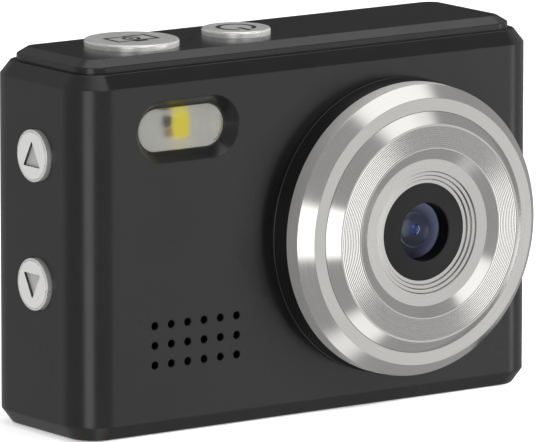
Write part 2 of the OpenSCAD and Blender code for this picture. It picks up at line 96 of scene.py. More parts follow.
FRONT = Plane((0, F, 0), (1, 0, 0), (0, 0, 1), (0, -1, 0))
BACK = Plane((0, B, 0), (-1, 0, 0), (0, 0, 1), (0, 1, 0))
LEFT = Plane((-W, 0, 0), (0, -1, 0), (0, 0, 1), (-1, 0, 0))
RIGHT = Plane((W, 0, 0), (0, 1, 0), (0, 0, 1), (1, 0, 0))
UP = Plane((0, 0, 0), (1, 0, 0), (0, 1, 0), (0, 0, 1))
DOWN = Plane((0, 0, 0), (1, 0, 0), (0, -1, 0), (0, 0, -1))
LENS = Plane((LX, F, LZ), (1, 0, 0), (0, 0, 1), (0, -1, 0))


class Outline:
    """Closed line of points c + n * (r + d), where d is an offset outwards."""

    def __init__(self, c, n, r):
        self.c, self.n, self.r = np.array(c, float), np.array(n, float), r

    def pts(self, d=0.0):
        return self.c + self.n * (self.r + d)


def circle(cx, cy, r, k=64, a0=0.0):
    a = a0 + np.arange(k) * 2 * math.pi / k
    n = np.stack([np.cos(a), np.sin(a)], 1)
    return Outline(np.tile([cx, cy], (k, 1)), n, r)


def rrect(cx, cy, w, h, r, k=8):
    c, n = [], []
    for q, (sx, sy) in enumerate(((1, 1), (-1, 1), (-1, -1), (1, -1))):
        for i in range(k + 1):
            a = (q + i / k) * math.pi / 2
            n.append([round(math.cos(a), 12), round(math.sin(a), 12)])
            c.append([cx + sx * (w / 2 - r), cy + sy * (h / 2 - r)])
    return Outline(c, n, r)


def shape(pts, r=0.0, k=5):
    """Outline of a convex polygon, given anticlockwise, with round corners."""
    pts = [np.array(p, float) for p in pts]
    c, n = [], []
    for i, p in enumerate(pts):
        a, b = p - pts[i - 1], pts[(i + 1) % len(pts)] - p
        a, b = a / np.linalg.norm(a), b / np.linalg.norm(b)
        na, nb = np.array([a[1], -a[0]]), np.array([b[1], -b[0]])
        m = na + nb
        centre = p - m * (r / (1 + na @ nb))
        t0, t1 = math.atan2(na[1], na[0]), math.atan2(nb[1], nb[0])
        while t1 < t0:
            t1 += 2 * math.pi
        for j in range(k + 1):
            t = t0 + (t1 - t0) * j / k
            c.append(centre)
            n.append([math.cos(t), math.sin(t)])
    return Outline(c, n, r)


def path(pts, rad, closed=False, step=14.0):
    """Pieces of a rounded line in (d, t). Outside is on the right of travel.
    Each piece is two ends, and an end is (d, t, normal d, normal t)."""
    pts = [np.array(p, float) for p in pts]
    if not hasattr(rad, "__len__"):
        rad = [rad] * len(pts)
    n = len(pts)
    ends = []
    for i in range(n):
        if not closed and i in (0, n - 1):
            ends.append([pts[i], pts[i], None])
            continue
        a, b = pts[i] - pts[i - 1], pts[(i + 1) % n] - pts[i]
        la, lb = np.linalg.norm(a), np.linalg.norm(b)
        a, b = a / la, b / lb
        cross, dot = a[0] * b[1] - a[1] * b[0], max(-1.0, min(1.0, a @ b))
        th = math.acos(dot)
        if rad[i] <= 0 or th < 0.02:
            ends.append([pts[i], pts[i], None])
            continue
        L = min(rad[i] * math.tan(th / 2), 0.498 * min(la, lb) if closed or 1 < i < n - 2 else
                min(0.498 * la if i > 1 else la, 0.498 * lb if i < n - 2 else lb))
        q = L / math.tan(th / 2)
        na = np.array([a[1], -a[0]])
        s = 1.0 if cross > 0 else -1.0
        p0 = pts[i] - a * L
        centre = p0 - na * q * s
        arc = []
        k = max(2, int(math.ceil(math.degrees(th) / step)))
        for j in range(k + 1):
            t = s * th * j / k
            nn = np.array([na[0] * math.cos(t) - na[1] * math.sin(t), na[0] * math.sin(t) + na[1] * math.cos(t)])
            arc.append(np.concatenate([centre + nn * q * s, nn]))
        ends.append([arc[0][:2], arc[-1][:2], arc])
    out = []
    for i in range(n):
        if ends[i][2] is not None:
            out += list(zip(ends[i][2][:-1], ends[i][2][1:]))
        j = (i + 1) % n
        if j == 0 and not closed:
            break
        p, q = ends[i][1], ends[j][0]
        d = q - p
        L = np.linalg.norm(d)
        if L > 1e-6:
            nn = np.array([d[1], -d[0]]) / L
            out.append((np.concatenate([p, nn]), np.concatenate([q, nn])))
    return out


class Mesh:
    """Faces with a normal at each corner, in millimetres. Corners that meet are welded at the end."""

    def __init__(self):
        self.p, self.n, self.m = [], [], []

    def add(self, p, n, mat=0):
        p, n = np.asarray(p, float), np.asarray(n, float)
        g = np.cross(p[:, 2] - p[:, 0], p[:, -1] - p[:, 1]) if p.shape[1] == 4 else np.cross(
            p[:, 1] - p[:, 0], p[:, 2] - p[:, 0])
        flip = np.einsum("ij,ij->i", g, n.sum(1)) < 0
        p[flip], n[flip] = p[flip][:, ::-1], n[flip][:, ::-1]
        self.p.append(p)
        self.n.append(n)
        self.m.append(np.full(len(p), mat))
        return self

    def sweep(self, outline, segs, pl, mat=0, skip=None):
        for k, (a, b) in enumerate(segs):
            pa = pl.at(outline.c + outline.n * (outline.r + a[0]), a[1])
            pb = pl.at(outline.c + outline.n * (outline.r + b[0]), b[1])
            na, nb = pl.way(outline.n * a[2], a[3]), pl.way(outline.n * b[2], b[3])
            i = np.arange(len(pa))
            j = (i + 1) % len(pa)
            q = np.stack([pa[i], pa[j], pb[j], pb[i]], 1)
            m = np.stack([na[i], na[j], nb[j], nb[i]], 1)
            area = np.linalg.norm(np.cross(q[:, 2] - q[:, 0], q[:, 3] - q[:, 1]), axis=1)
            keep = area > 1e-9
            self.add(q[keep], m[keep], mat(k) if callable(mat) else mat)
        return self

    def lathe(self, segs, pl, k=192, mat=0, centre=(0, 0)):
        return self.sweep(circle(centre[0], centre[1], 0.0, k), segs, pl, mat)

    def fill(self, loops, pl, t, up=1, mat=0):
        """Flat face at height t between closed lines: what lies inside an odd number of them is filled."""
        loops = [np.asarray(x.pts() if isinstance(x, Outline) else x, float) for x in loops]
        loops = [x[[i for i in range(len(x)) if np.abs(x[i] - x[i - 1]).max() > 1e-7]] for x in loops]
        pts = np.concatenate(loops)
        edges, base = [], 0
        for x in loops:
            edges += [(base + i, base + (i + 1) % len(x)) for i in range(len(x))]
            base += len(x)
        res = geometry.delaunay_2d_cdt([Vector(p) for p in pts], edges, [], 0, 1e-6)
        real = np.array([pts[o[0]] if o else np.array(v) for v, o in zip(res[0], res[3])])
        tri = np.array([f for f in res[2] if len(f) == 3])
        c = real[tri].mean(1)
        inside = np.zeros(len(tri), bool)
        for x in loops:
            x0, x1 = x, np.roll(x, -1, axis=0)
            for a, b in zip(x0, x1):
                if a[1] == b[1]:
                    continue
                hit = ((a[1] > c[:, 1]) != (b[1] > c[:, 1])) & (
                    c[:, 0] < (b[0] - a[0]) * (c[:, 1] - a[1]) / (b[1] - a[1]) + a[0])
                inside ^= hit
        tri = tri[inside]
        p = real[tri]
        area = np.abs((p[:, 1, 0] - p[:, 0, 0]) * (p[:, 2, 1] - p[:, 0, 1]) - (p[:, 2, 0] - p[:, 0, 0]) * (
            p[:, 1, 1] - p[:, 0, 1]))
        p = p[area > 1e-10]
        q = pl.at(p.reshape(-1, 2), t).reshape(-1, 3, 3)
        n = np.broadcast_to(pl.n * up, q.shape).copy()
        return self.add(q, n, mat)

    def wall(self, pts, pl, t0, t1, out=True, mat=0):
        """Upright wall on a closed line given anticlockwise, with sharp corners. It faces out of the line, or into it."""
        pts = np.asarray(pts.pts() if isinstance(pts, Outline) else pts, float)
        nxt = np.roll(pts, -1, axis=0)
        d = nxt - pts
        L = np.linalg.norm(d, axis=1)
        keep = L > 1e-7
        pts, nxt, d, L = pts[keep], nxt[keep], d[keep], L[keep]
        n = np.stack([d[:, 1], -d[:, 0]], 1) / L[:, None] * (1 if out else -1)
        q = np.stack([pl.at(pts, t0), pl.at(nxt, t0), pl.at(nxt, t1), pl.at(pts, t1)], 1)
        m = np.repeat(pl.way(n, 0)[:, None], 4, 1)
        return self.add(q, m, mat)

    def data(self, name, scale=0.001, normals=True):
        flat, norm, size, mats = [], [], [], []
        for p, n, m in zip(self.p, self.n, self.m):
            flat.append(p.reshape(-1, 3))
            norm.append(n.reshape(-1, 3))
            size += [p.shape[1]] * len(p)
            mats.append(m)
        flat, norm, mats = np.concatenate(flat), np.concatenate(norm), np.concatenate(mats)
        key = np.round((flat + 0.0000217) / 1e-4).astype(np.int64)
        _, first, inv = np.unique(key, axis=0, return_index=True, return_inverse=True)
        inv = inv.reshape(-1)
        faces, loops, fm, at = [], [], [], 0
        for s, m in zip(size, mats):
            ids = inv[at:at + s]
            keep = [i for i in range(s) if ids[i] != ids[i - 1]]
            if len(keep) >= 3 and len(set(ids[keep])) == len(keep):
                faces.append([int(ids[i]) for i in keep])
                loops += [at + i for i in keep]
                fm.append(int(m))
            at += s
        me = bpy.data.meshes.new(name)
        me.from_pydata([tuple(v) for v in flat[first] * scale], [], faces)
        me.polygons.foreach_set("material_index", np.array(fm, np.int32))
        me.polygons.foreach_set("use_smooth", np.ones(len(faces), bool))
        me.update()
        if normals:
            nn = norm[loops]
            nn /= np.maximum(np.linalg.norm(nn, axis=1), 1e-9)[:, None]
            me.normals_split_custom_set([tuple(v) for v in nn])
        return me


def place(name, me, mats, body, nodes):
    ob = bpy.data.objects.new(name, me)
    scene.collection.objects.link(ob)
    for m in mats if isinstance(mats, (list, tuple)) else [mats]:
        me.materials.append(m)
    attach(ob, body)
    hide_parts(*nodes)
    return ob


def solid(name, mesh):
    ob = bpy.data.objects.new(name, mesh.data(name, 1.0, False))
    scene.collection.objects.link(ob)
    return ob


def boolean(ob, other, kind):
    """ob's mesh becomes its difference, union or overlap with other, which is used up."""
    mod = ob.modifiers.new("cut", "BOOLEAN")
    mod.object, mod.operation, mod.solver = other, kind, "EXACT"
    bpy.context.view_layer.update()
    me = bpy.data.meshes.new_from_object(ob.evaluated_get(bpy.context.evaluated_depsgraph_get()))
    ob.modifiers.clear()
    old = ob.data
    ob.data = me
    bpy.data.meshes.remove(old)
    gone = other.data
    bpy.data.objects.remove(other)
    bpy.data.meshes.remove(gone)
    return ob


def cut_mesh(ob, name, angle=32.0):
    """The mesh of a boolean result in metres, smooth within that angle."""
    me = ob.data.copy()
    me.name = name
    co = np.zeros(len(me.vertices) * 3, np.float32)
    me.vertices.foreach_get("co", co)
    me.vertices.foreach_set("co", co * 0.001)
    me.polygons.foreach_set("material_index", np.zeros(len(me.polygons), np.int32))
    me.update()
    me.shade_smooth()
    me.set_sharp_from_angle(angle=math.radians(angle))
    old = ob.data
    bpy.data.objects.remove(ob)
    bpy.data.meshes.remove(old)
    return me


def weighted(ob):
    mod = ob.modifiers.new("normals", "WEIGHTED_NORMAL")
    mod.mode, mod.weight, mod.keep_sharp = "FACE_AREA", 80, True
    return ob


def rim(outline, depth, rho, pl, top=1.2):
    """Closed cutter for a hole with a rounded rim, from height -depth up past the surface."""
    m = Mesh()
    segs = path([(0, -depth), (0, 0), (1.0, 0.03), (1.0, top)], [0, rho, 0, 0])
    m.sweep(outline, segs, pl)
    m.fill([outline.pts()], pl, -depth, -1)
    m.fill([outline.pts(1.0)], pl, top, 1)
    return m


def join(*meshes):
    out = Mesh()
    for m in meshes:
        out.p += m.p
        out.n += m.n
        out.m += m.m
    return out


def block(outline, pl, t0, t1, rho=0.0):
    """Closed prism on an outline, its upper rim rounded."""
    m = Mesh()
    m.sweep(outline, path([(0, t0), (0, t1), (-1.5 * rho - 0.01, t1)], [0, rho, 0]) if rho else path(
        [(0, t0), (0, t1)], 0), pl)
    m.fill([outline.pts()], pl, t0, -1)
    m.fill([outline.pts(-1.5 * rho - 0.01 if rho else 0.0)], pl, t1, 1)
    return m


# ------------------------------------------------------------------ materials


class Nodes:
    def __init__(self, name):
        self.mat = bpy.data.materials.new(name)
        self.mat.use_nodes = True
        self.t = self.mat.node_tree
        self.b = self.t.nodes["Principled BSDF"]
        self.out = self.t.nodes["Material Output"]
        self._obj = None

    def new(self, kind, **props):
        n = self.t.nodes.new(kind)
        for k, v in props.items():
            setattr(n, k, v)
        return n

    def link(self, a, b):
        self.t.links.new(a, b)

    def obj(self):
        if self._obj is None:
            self._obj = self.new("ShaderNodeTexCoord").outputs["Object"]
        return self._obj

    def set(self, **vals):
        for k, v in vals.items():
            k = k.replace("_", " ")
            s = self.b.inputs[k]
            s.default_value = (*v, 1.0) if s.type == "RGBA" and len(v) == 3 else v
        return self

    def noise(self, scale, detail=2.0, vec=None, rough=0.5, dims="3D"):
        n = self.new("ShaderNodeTexNoise", noise_dimensions=dims)
        n.inputs["Scale"].default_value = scale
        n.inputs["Detail"].default_value = detail
        n.inputs["Roughness"].default_value = rough
        if dims != "1D":
            self.link(vec if vec is not None else self.obj(), n.inputs["Vector"])
        return n

    def stretch(self, x, y, z):
        m = self.new("ShaderNodeMapping")
        m.inputs["Scale"].default_value = (x, y, z)
        self.link(self.obj(), m.inputs["Vector"])
        return m.outputs["Vector"]

    def math(self, op, a, b=None, c=None, clamp=False):
        n = self.new("ShaderNodeMath", operation=op, use_clamp=clamp)
        for i, x in enumerate((a, b, c)):
            if x is None:
                continue
            if isinstance(x, (int, float)):
                n.inputs[i].default_value = x
            else:
                self.link(x, n.inputs[i])
        return n.outputs[0]

    def ramp(self, fac, stops, smooth=False):
        n = self.new("ShaderNodeValToRGB")
        r = n.color_ramp
        r.interpolation = "EASE" if smooth else "LINEAR"
        while len(r.elements) < len(stops):
            r.elements.new(0.5)
        for e, (pos, c) in zip(r.elements, stops):
            e.position = pos
            e.color = (*c, 1.0) if hasattr(c, "__len__") else (c, c, c, 1.0)
        self.link(fac, n.inputs["Fac"])
        return n.outputs["Color"]

    def remap(self, fac, a, b, lo=0.0, hi=1.0, smooth=False):
        n = self.new("ShaderNodeMapRange")
        n.interpolation_type = "SMOOTHSTEP" if smooth else "LINEAR"
        n.inputs["From Min"].default_value = lo
        n.inputs["From Max"].default_value = hi
        n.inputs["To Min"].default_value = a
        n.inputs["To Max"].default_value = b
        self.link(fac, n.inputs["Value"])
        return n.outputs["Result"]

    def rough(self, fac, a, b):
        self.link(self.remap(fac, a, b, 0.3, 0.7), self.b.inputs["Roughness"])
        return self

    def colour(self, fac, c0, c1, lo=0.3, hi=0.7):
        self.link(self.ramp(self.remap(fac, 0.0, 1.0, lo, hi), [(0.0, c0), (1.0, c1)]), self.b.inputs["Base Color"])
        return self

    def bump(self, height, strength, distance, more=None):
        n = self.new("ShaderNodeBump")
        n.inputs["Strength"].default_value = strength
        n.inputs["Distance"].default_value = distance
        self.link(height, n.inputs["Height"])
        if more is not None:
            self.link(more, n.inputs["Normal"])
        self.link(n.outputs["Normal"], self.b.inputs["Normal"])
        return n.outputs["Normal"]

    def xyz(self):
        s = self.new("ShaderNodeSeparateXYZ")
        self.link(self.obj(), s.inputs["Vector"])
        return s.outputs["X"], s.outputs["Y"], s.outputs["Z"]

    def radius(self, cx, cz):
        """Distance from the lens axis, in metres."""
        x, _, z = self.xyz()
        a, b = self.math("SUBTRACT", x, cx), self.math("SUBTRACT", z, cz)
        return self.math("SQRT", self.math("ADD", self.math("MULTIPLY", a, a), self.math("MULTIPLY", b, b)))


def plastic(name, c0, c1, r0, r1, grain=2600.0, strength=0.05, spec=0.5, painted_dark_bevels=()):
    """Moulded plastic: even colour with faint clouding, fine moulded grain, and patches a little glossier."""
    k = Nodes(name)
    k.set(Specular_IOR_Level=spec)
    k.colour(k.noise(45.0, 3.0).outputs["Fac"], c0, c1)
    k.rough(k.noise(130.0, 3.0).outputs["Fac"], r0, r1)
    first = k.bump(k.noise(grain, 3.0, rough=0.6).outputs["Fac"], strength, 0.00004)
    n = k.new("ShaderNodeBump")
    n.inputs["Strength"].default_value = strength * 0.5
    n.inputs["Distance"].default_value = 0.0002
    k.link(k.noise(300.0, 2.0).outputs["Fac"], n.inputs["Height"])
    k.link(first, n.inputs["Normal"])
    k.link(n.outputs["Normal"], k.b.inputs["Normal"])
    level = k.remap(k.noise(90.0, 2.0).outputs["Fac"], spec * 0.97, spec * 1.03)
    for normal, share in painted_dark_bevels:                            # painted shade: bevels facing these normals get a lower specular level, so they read darker
        dot = k.new("ShaderNodeVectorMath", operation="DOT_PRODUCT")
        k.link(k.new("ShaderNodeNewGeometry").outputs["Normal"], dot.inputs[0])
        dot.inputs[1].default_value = normal
        level = k.math("MULTIPLY", level, k.remap(dot.outputs["Value"], 1.0, share, 0.985, 0.997, True))
    if painted_dark_bevels:
        k.link(level, k.b.inputs["Specular IOR Level"])
    return k.mat


# painted shade: the front bevels facing up and facing down get a lower specular level, so they read darker
case_plastic = plastic("case_plastic", (0.0044, 0.0044, 0.0045), (0.0056, 0.0056, 0.0057), 0.22, 0.28, strength=0.03, spec=0.65,
                       painted_dark_bevels=(((0, -0.79, 0.613), 0.4), ((0, -0.809, -0.588), 0.64)))
collar_plastic = plastic("collar_plastic", (0.0045, 0.0045, 0.0046), (0.006, 0.006, 0.0061), 0.30, 0.38)
inner_plastic = plastic("inner_plastic", (0.012, 0.012, 0.013), (0.018, 0.018, 0.018), 0.5, 0.62, strength=0.1)
plate_plastic = plastic("face_plate", (0.0042, 0.0042, 0.0042), (0.0052, 0.0052, 0.0052), 0.5, 0.58)
barrel_plastic = plastic("barrel", (0.0012, 0.0012, 0.0013), (0.002, 0.002, 0.0021), 0.5, 0.6, spec=0.25)


def turned_metal(name, cx, cz, base, r0, r1, metallic=1.0, aniso=0.0, lines=9000.0, strength=0.012):
    """Metal turned round an axis along Y: fine circular tool lines, slight haze and colour drift."""
    k = Nodes(name)
    k.set(Metallic=metallic, Anisotropic=aniso)
    r = k.radius(cx, cz)
    line = k.new("ShaderNodeTexNoise", noise_dimensions="1D")
    line.inputs["Scale"].default_value = lines
    line.inputs["Detail"].default_value = 2.0
    k.link(r, line.inputs["W"])
    x, _, z = k.xyz()
    ang = k.math("ARCTAN2", k.math("SUBTRACT", z, cz), k.math("SUBTRACT", x, cx))
    comb = k.new("ShaderNodeCombineXYZ")
    k.link(k.math("MULTIPLY", ang, 3.0), comb.inputs["X"])
    k.link(k.math("MULTIPLY", r, 2600.0), comb.inputs["Y"])
    streak = k.noise(1.0, 2.0, comb.outputs["Vector"])
    mix = k.math("MULTIPLY", k.math("ADD", line.outputs["Fac"], streak.outputs["Fac"]), 0.5)
    k.colour(mix, tuple(b * 0.955 for b in base), base, 0.35, 0.65)
    k.rough(mix, r0, r1)
    k.bump(mix, strength, 0.00003)
    return k.mat


METAL = (0.80, 0.79, 0.775)
ring_metal = turned_metal("ring_metal", LX / 1000, LZ / 1000, METAL, 0.13, 0.18)
# step_metal is ring_metal darkened to 58 %, for the risers of the inner ring's steps: painted shade between the steps
step_metal = turned_metal("step_metal", LX / 1000, LZ / 1000, tuple(c * 0.58 for c in METAL), 0.24, 0.30)
groove_metal = turned_metal("groove_metal", LX / 1000, LZ / 1000, METAL, 0.13, 0.17, strength=0.004)


def blasted_metal(name, base, r0, r1, metallic, strength=0.25, grain=5200.0):
    """Metal with a fine blasted grain."""
    k = Nodes(name)
    k.set(Metallic=metallic, Specular_IOR_Level=0.6)
    g = k.noise(grain, 3.0, rough=0.65).outputs["Fac"]
    k.colour(g, tuple(b * 0.93 for b in base), base)
    k.rough(k.noise(700.0, 2.0).outputs["Fac"], r0, r1)
    k.bump(g, strength, 0.00002)
    return k.mat


rim_metal = blasted_metal("rim_metal", (0.80, 0.79, 0.775), 0.46, 0.54, 0.78, 0.1)
key_face = blasted_metal("key_face", (0.80, 0.795, 0.785), 0.38, 0.46, 0.8, 0.12)
key_wall = blasted_metal("key_wall", (0.86, 0.855, 0.845), 0.22, 0.28, 0.74, 0.01, 1500.0)
side_face = blasted_metal("side_face", (0.70, 0.697, 0.69), 0.40, 0.48, 0.42, 0.12)
side_wall = blasted_metal("side_wall", (0.84, 0.83, 0.82), 0.26, 0.32, 0.72, 0.01, 1500.0)
key_floor = blasted_metal("key_floor", (0.50, 0.50, 0.495), 0.40, 0.5, 0.5, 0.15)
# key_cut is dark grey for the walls of the side keys' sunk triangles: painted shade in the recess
key_cut = blasted_metal("key_cut", (0.055, 0.055, 0.055), 0.4, 0.5, 0.3, 0.1)
steel = blasted_metal("steel", (0.55, 0.55, 0.56), 0.26, 0.34, 1.0, 0.08, 3000.0)
brass = blasted_metal("brass", (0.66, 0.49, 0.24), 0.24, 0.34, 1.0, 0.08, 3000.0)
gold = blasted_metal("gold", (0.83, 0.62, 0.28), 0.2, 0.3, 1.0, 0.05, 3000.0)


def sign_paint(name, c0, c1, glow=0.0):
    k = Nodes(name)
    if glow:
        k.set(Emission_Color=c1, Emission_Strength=glow)
    k.colour(k.noise(1500.0, 2.0).outputs["Fac"], c0, c1)
    k.rough(k.noise(900.0, 2.0).outputs["Fac"], 0.45, 0.6)
    return k.mat


sign_dark = sign_paint("sign_dark", (0.016, 0.016, 0.016), (0.028, 0.028, 0.028))


def glass_mat():
    k = Nodes("coated_glass")
    k.set(Transmission_Weight=1.0, IOR=1.5, Roughness=0.0)
    f = k.noise(60.0, 1.0).outputs["Fac"]
    k.colour(f, (0.80, 0.84, 1.0), (0.86, 0.88, 1.0))
    k.b.inputs["Specular Tint"].default_value = (0.24, 0.27, 0.42, 1.0)
    return k.mat


coated_glass = glass_mat()


def baffle_mat():
    """Slate-blue coated annulus, a pale lip and a dark middle, with painted light: painted shade makes it lighter
    towards the upper right, a painted highlight makes the lip brightest on the left, it is tinted violet towards the
    bottom, and the colour also glows faintly.
    """
    k = Nodes("coated_baffle_painted_light")
    r = k.math("MULTIPLY", k.radius(LX / 1000, LZ / 1000), 1000.0 / 5.0)
    c = k.ramp(r, [(0.0, (0.010, 0.012, 0.022)), (0.30, (0.012, 0.014, 0.019)), (0.535, (0.022, 0.024, 0.036)),
                   (0.88, (0.108, 0.118, 0.146)), (1.0, (0.096, 0.105, 0.13))])
    lip = k.ramp(r, [(0.0, (0, 0, 0)), (0.482, (0, 0, 0)), (0.49, (0.27, 0.245, 0.245)),
                     (0.524, (0.27, 0.245, 0.245)), (0.535, (0, 0, 0)), (1.0, (0, 0, 0))])
    x, _, z = k.xyz()
    dx, dz = k.math("SUBTRACT", x, LX / 1000), k.math("SUBTRACT", z, LZ / 1000)
    # painted shade: the colour is scaled up towards the upper right and down towards the lower left
    side = k.remap(k.math("ADD", k.math("MULTIPLY", dx, 0.75), k.math("MULTIPLY", dz, 0.66)), 0.2, 3.7, -0.0026, 0.0032)
    low = k.remap(k.math("SUBTRACT", z, LZ / 1000), 1.0, 0.0, -0.0038, -0.0012, True)
    tint = k.ramp(low, [(0.0, (1.0, 1.0, 1.0)), (1.0, (0.92, 0.72, 1.0))])
    mix = k.new("ShaderNodeMix", data_type="RGBA", blend_type="MULTIPLY")
    mix.inputs["Factor"].default_value = 1.0
    k.link(c, mix.inputs["A"])
    k.link(tint, mix.inputs["B"])
    again = k.new("ShaderNodeMix", data_type="RGBA", blend_type="MULTIPLY")
    again.inputs["Factor"].default_value = 1.0
    k.link(mix.outputs["Result"], again.inputs["A"])
    k.link(k.math("MULTIPLY", side, k.remap(k.noise(900.0, 2.0).outputs["Fac"], 0.92, 1.08, 0.3, 0.7)), again.inputs["B"])
    # painted highlight: the pale lip is brightest on the left and fades out towards the right
    fade = k.new("ShaderNodeMix", data_type="RGBA", blend_type="MULTIPLY")
    fade.inputs["Factor"].default_value = 1.0
    k.link(lip, fade.inputs["A"])
    k.link(k.remap(dx, 1.35, 0.0, -0.0026, 0.0014), fade.inputs["B"])
    both = k.new("ShaderNodeMix", data_type="RGBA", blend_type="ADD")
    both.inputs["Factor"].default_value = 1.0
    k.link(again.outputs["Result"], both.inputs["A"])
    k.link(fade.outputs["Result"], both.inputs["B"])
    k.link(both.outputs["Result"], k.b.inputs["Base Color"])
    # painted light: the colour also goes into emission, so the baffle glows faintly though it is no lamp
    k.link(both.outputs["Result"], k.b.inputs["Emission Color"])
    k.rough(k.noise(1200.0, 2.0).outputs["Fac"], 0.3, 0.4)
    k.set(Specular_IOR_Level=0.6, Emission_Strength=0.13)
    return k.mat


def bead_mat():
    k = Nodes("blue_coating")
    k.set(Metallic=0.6, Coat_Weight=1.0, Coat_Roughness=0.05)
    k.colour(k.noise(2500.0, 1.0).outputs["Fac"], (0.03, 0.05, 0.28), (0.05, 0.09, 0.44))
    k.rough(k.noise(1500.0, 1.0).outputs["Fac"], 0.16, 0.24)
    return k.mat


baffle, bead = baffle_mat(), bead_mat()
# painted highlight: a pale blue-white crescent on the bead's rim, glowing faintly
glint = sign_paint("bead_painted_highlight", (0.70, 0.84, 1.0), (0.82, 0.92, 1.0), 0.3)


def window_mat(name, rough):
    """Milky flash window: polished in front, frosted on its back and sides."""
    k = Nodes(name)
    k.set(Transmission_Weight=0.985, IOR=1.35)
    k.colour(k.noise(400.0, 2.0).outputs["Fac"], (0.955, 0.96, 0.945), (0.985, 0.985, 0.97))
    k.rough(k.noise(500.0, 2.0).outputs["Fac"], rough, rough + 0.05)
    return k.mat


flash_clear, flash_frost = window_mat("clear_window", 0.12), window_mat("frosted_window", 0.68)
# painted light: the reflector and the LED's yellow phosphor glow faintly, though the flash is not firing
flash_white = sign_paint("flash_diffuser", (0.88, 0.885, 0.86), (0.93, 0.93, 0.91), 0.13)
phosphor = sign_paint("led_yellow", (0.92, 0.74, 0.01), (0.97, 0.82, 0.02), 0.36)
part_brown = sign_paint("part_brown", (0.035, 0.028, 0.02), (0.06, 0.05, 0.036))
part_tan = sign_paint("part_tan", (0.62, 0.44, 0.20), (0.70, 0.50, 0.25))


def screen_mat():
    """Black glass: a painted border and a dark blue-grey panel behind it."""
    k = Nodes("screen_glass")
    x, _, z = k.xyz()
    lo, hi = mm("screen_window")
    cx, cz = (lo[0] + hi[0]) / 2000, (lo[2] + hi[2]) / 2000

    def inside(v, c, half):
        d = k.math("ABSOLUTE", k.math("SUBTRACT", v, c))
        return k.remap(d, 1.0, 0.0, half - 0.00006, half + 0.00006)

    m = k.math("MULTIPLY", inside(x, cx, 0.0243), inside(z, cz, 0.0183))
    panel = k.ramp(k.noise(30.0, 2.0).outputs["Fac"], [(0.3, (0.010, 0.012, 0.016)), (0.7, (0.014, 0.017, 0.023))])
    ink = k.ramp(k.noise(90.0, 2.0).outputs["Fac"], [(0.3, 0.002), (0.7, 0.0035)])
    mix = k.new("ShaderNodeMix", data_type="RGBA")
    k.link(m, mix.inputs["Factor"])
    k.link(ink, mix.inputs["A"])
    k.link(panel, mix.inputs["B"])
    k.link(mix.outputs["Result"], k.b.inputs["Base Color"])
    k.rough(k.noise(8.0, 4.0).outputs["Fac"], 0.045, 0.075)
    k.set(Coat_Weight=0.3, Coat_Roughness=0.03)
    return k.mat


screen_glass = screen_mat()


def board_mat():
    """Green solder mask with a pattern of copper tracks under it."""
    k = Nodes("circuit_board")
    v = k.new("ShaderNodeTexVoronoi", feature="DISTANCE_TO_EDGE", distance="MANHATTAN")
    v.inputs["Scale"].default_value = 420.0
    k.link(k.obj(), v.inputs["Vector"])
    e = k.remap(v.outputs["Distance"], 1.0, 0.0, 0.03, 0.07)
    k.link(k.ramp(e, [(0.0, (0.012, 0.075, 0.035)), (1.0, (0.03, 0.14, 0.06))]), k.b.inputs["Base Color"])
    k.rough(k.noise(600.0).outputs["Fac"], 0.3, 0.42)
    k.bump(e, 0.15, 0.00003)
    return k.mat


def cloth_mat():
    k = Nodes("speaker_cloth")
    w = k.new("ShaderNodeTexWave", wave_type="BANDS", bands_direction="X")
    w.inputs["Scale"].default_value = 1100.0
    k.link(k.obj(), w.inputs["Vector"])
    u = k.new("ShaderNodeTexWave", wave_type="BANDS", bands_direction="Z")
    u.inputs["Scale"].default_value = 1100.0
    k.link(k.obj(), u.inputs["Vector"])
    f = k.math("MULTIPLY", w.outputs["Fac"], u.outputs["Fac"])
    k.link(k.ramp(f, [(0.0, 0.001), (1.0, 0.006)]), k.b.inputs["Base Color"])
    k.set(Roughness=0.8)
    k.bump(f, 0.5, 0.0001)
    return k.mat


def wrap_mat():
    """Heat-shrink film on the cell, with faint lengthwise streaks."""
    k = Nodes("battery_wrap")
    n = k.noise(1.0, 3.0, k.stretch(60.0, 60.0, 900.0)).outputs["Fac"]
    k.colour(n, (0.035, 0.075, 0.15), (0.05, 0.10, 0.19))
    k.rough(n, 0.25, 0.36)
    k.bump(n, 0.08, 0.0001)
    return k.mat


circuit_board, speaker_cloth, battery_wrap = board_mat(), cloth_mat(), wrap_mat()
chip_black = plastic("chip_black", (0.01, 0.01, 0.011), (0.016, 0.016, 0.017), 0.42, 0.55, strength=0.15)
flex_amber = sign_paint("flex_amber", (0.42, 0.18, 0.03), (0.50, 0.23, 0.045))
white_plastic = plastic("white_plastic", (0.62, 0.62, 0.60), (0.68, 0.68, 0.66), 0.35, 0.45)
display_mat = plastic("display", (0.012, 0.013, 0.016), (0.016, 0.017, 0.021), 0.15, 0.22)
inner_glass = glass_mat()
inner_glass.name = "inner_glass"

# ------------------------------------------------------------------ casing


def case_solid(grow=0.0):
    m = Mesh()
    o = rrect(0, 0, 2 * W + 2 * grow, (B - F) + 2 * grow, CR + grow, 16)
    g = grow
    segs = path([(-3 - g, -g), (-1.67, -g), (0, 2.3), (0, ZC - 2.15), (-1.67, ZC + g), (-3 - g, ZC + g)],
                [0, 0.26, 0.32, 0.32, 0.22, 0], step=18.0)
    m.sweep(o, segs, UP)
    m.fill([o.pts(-3 - g)], UP, -g, -1)
    m.fill([o.pts(-3 - g)], UP, ZC + g, 1)
    return m


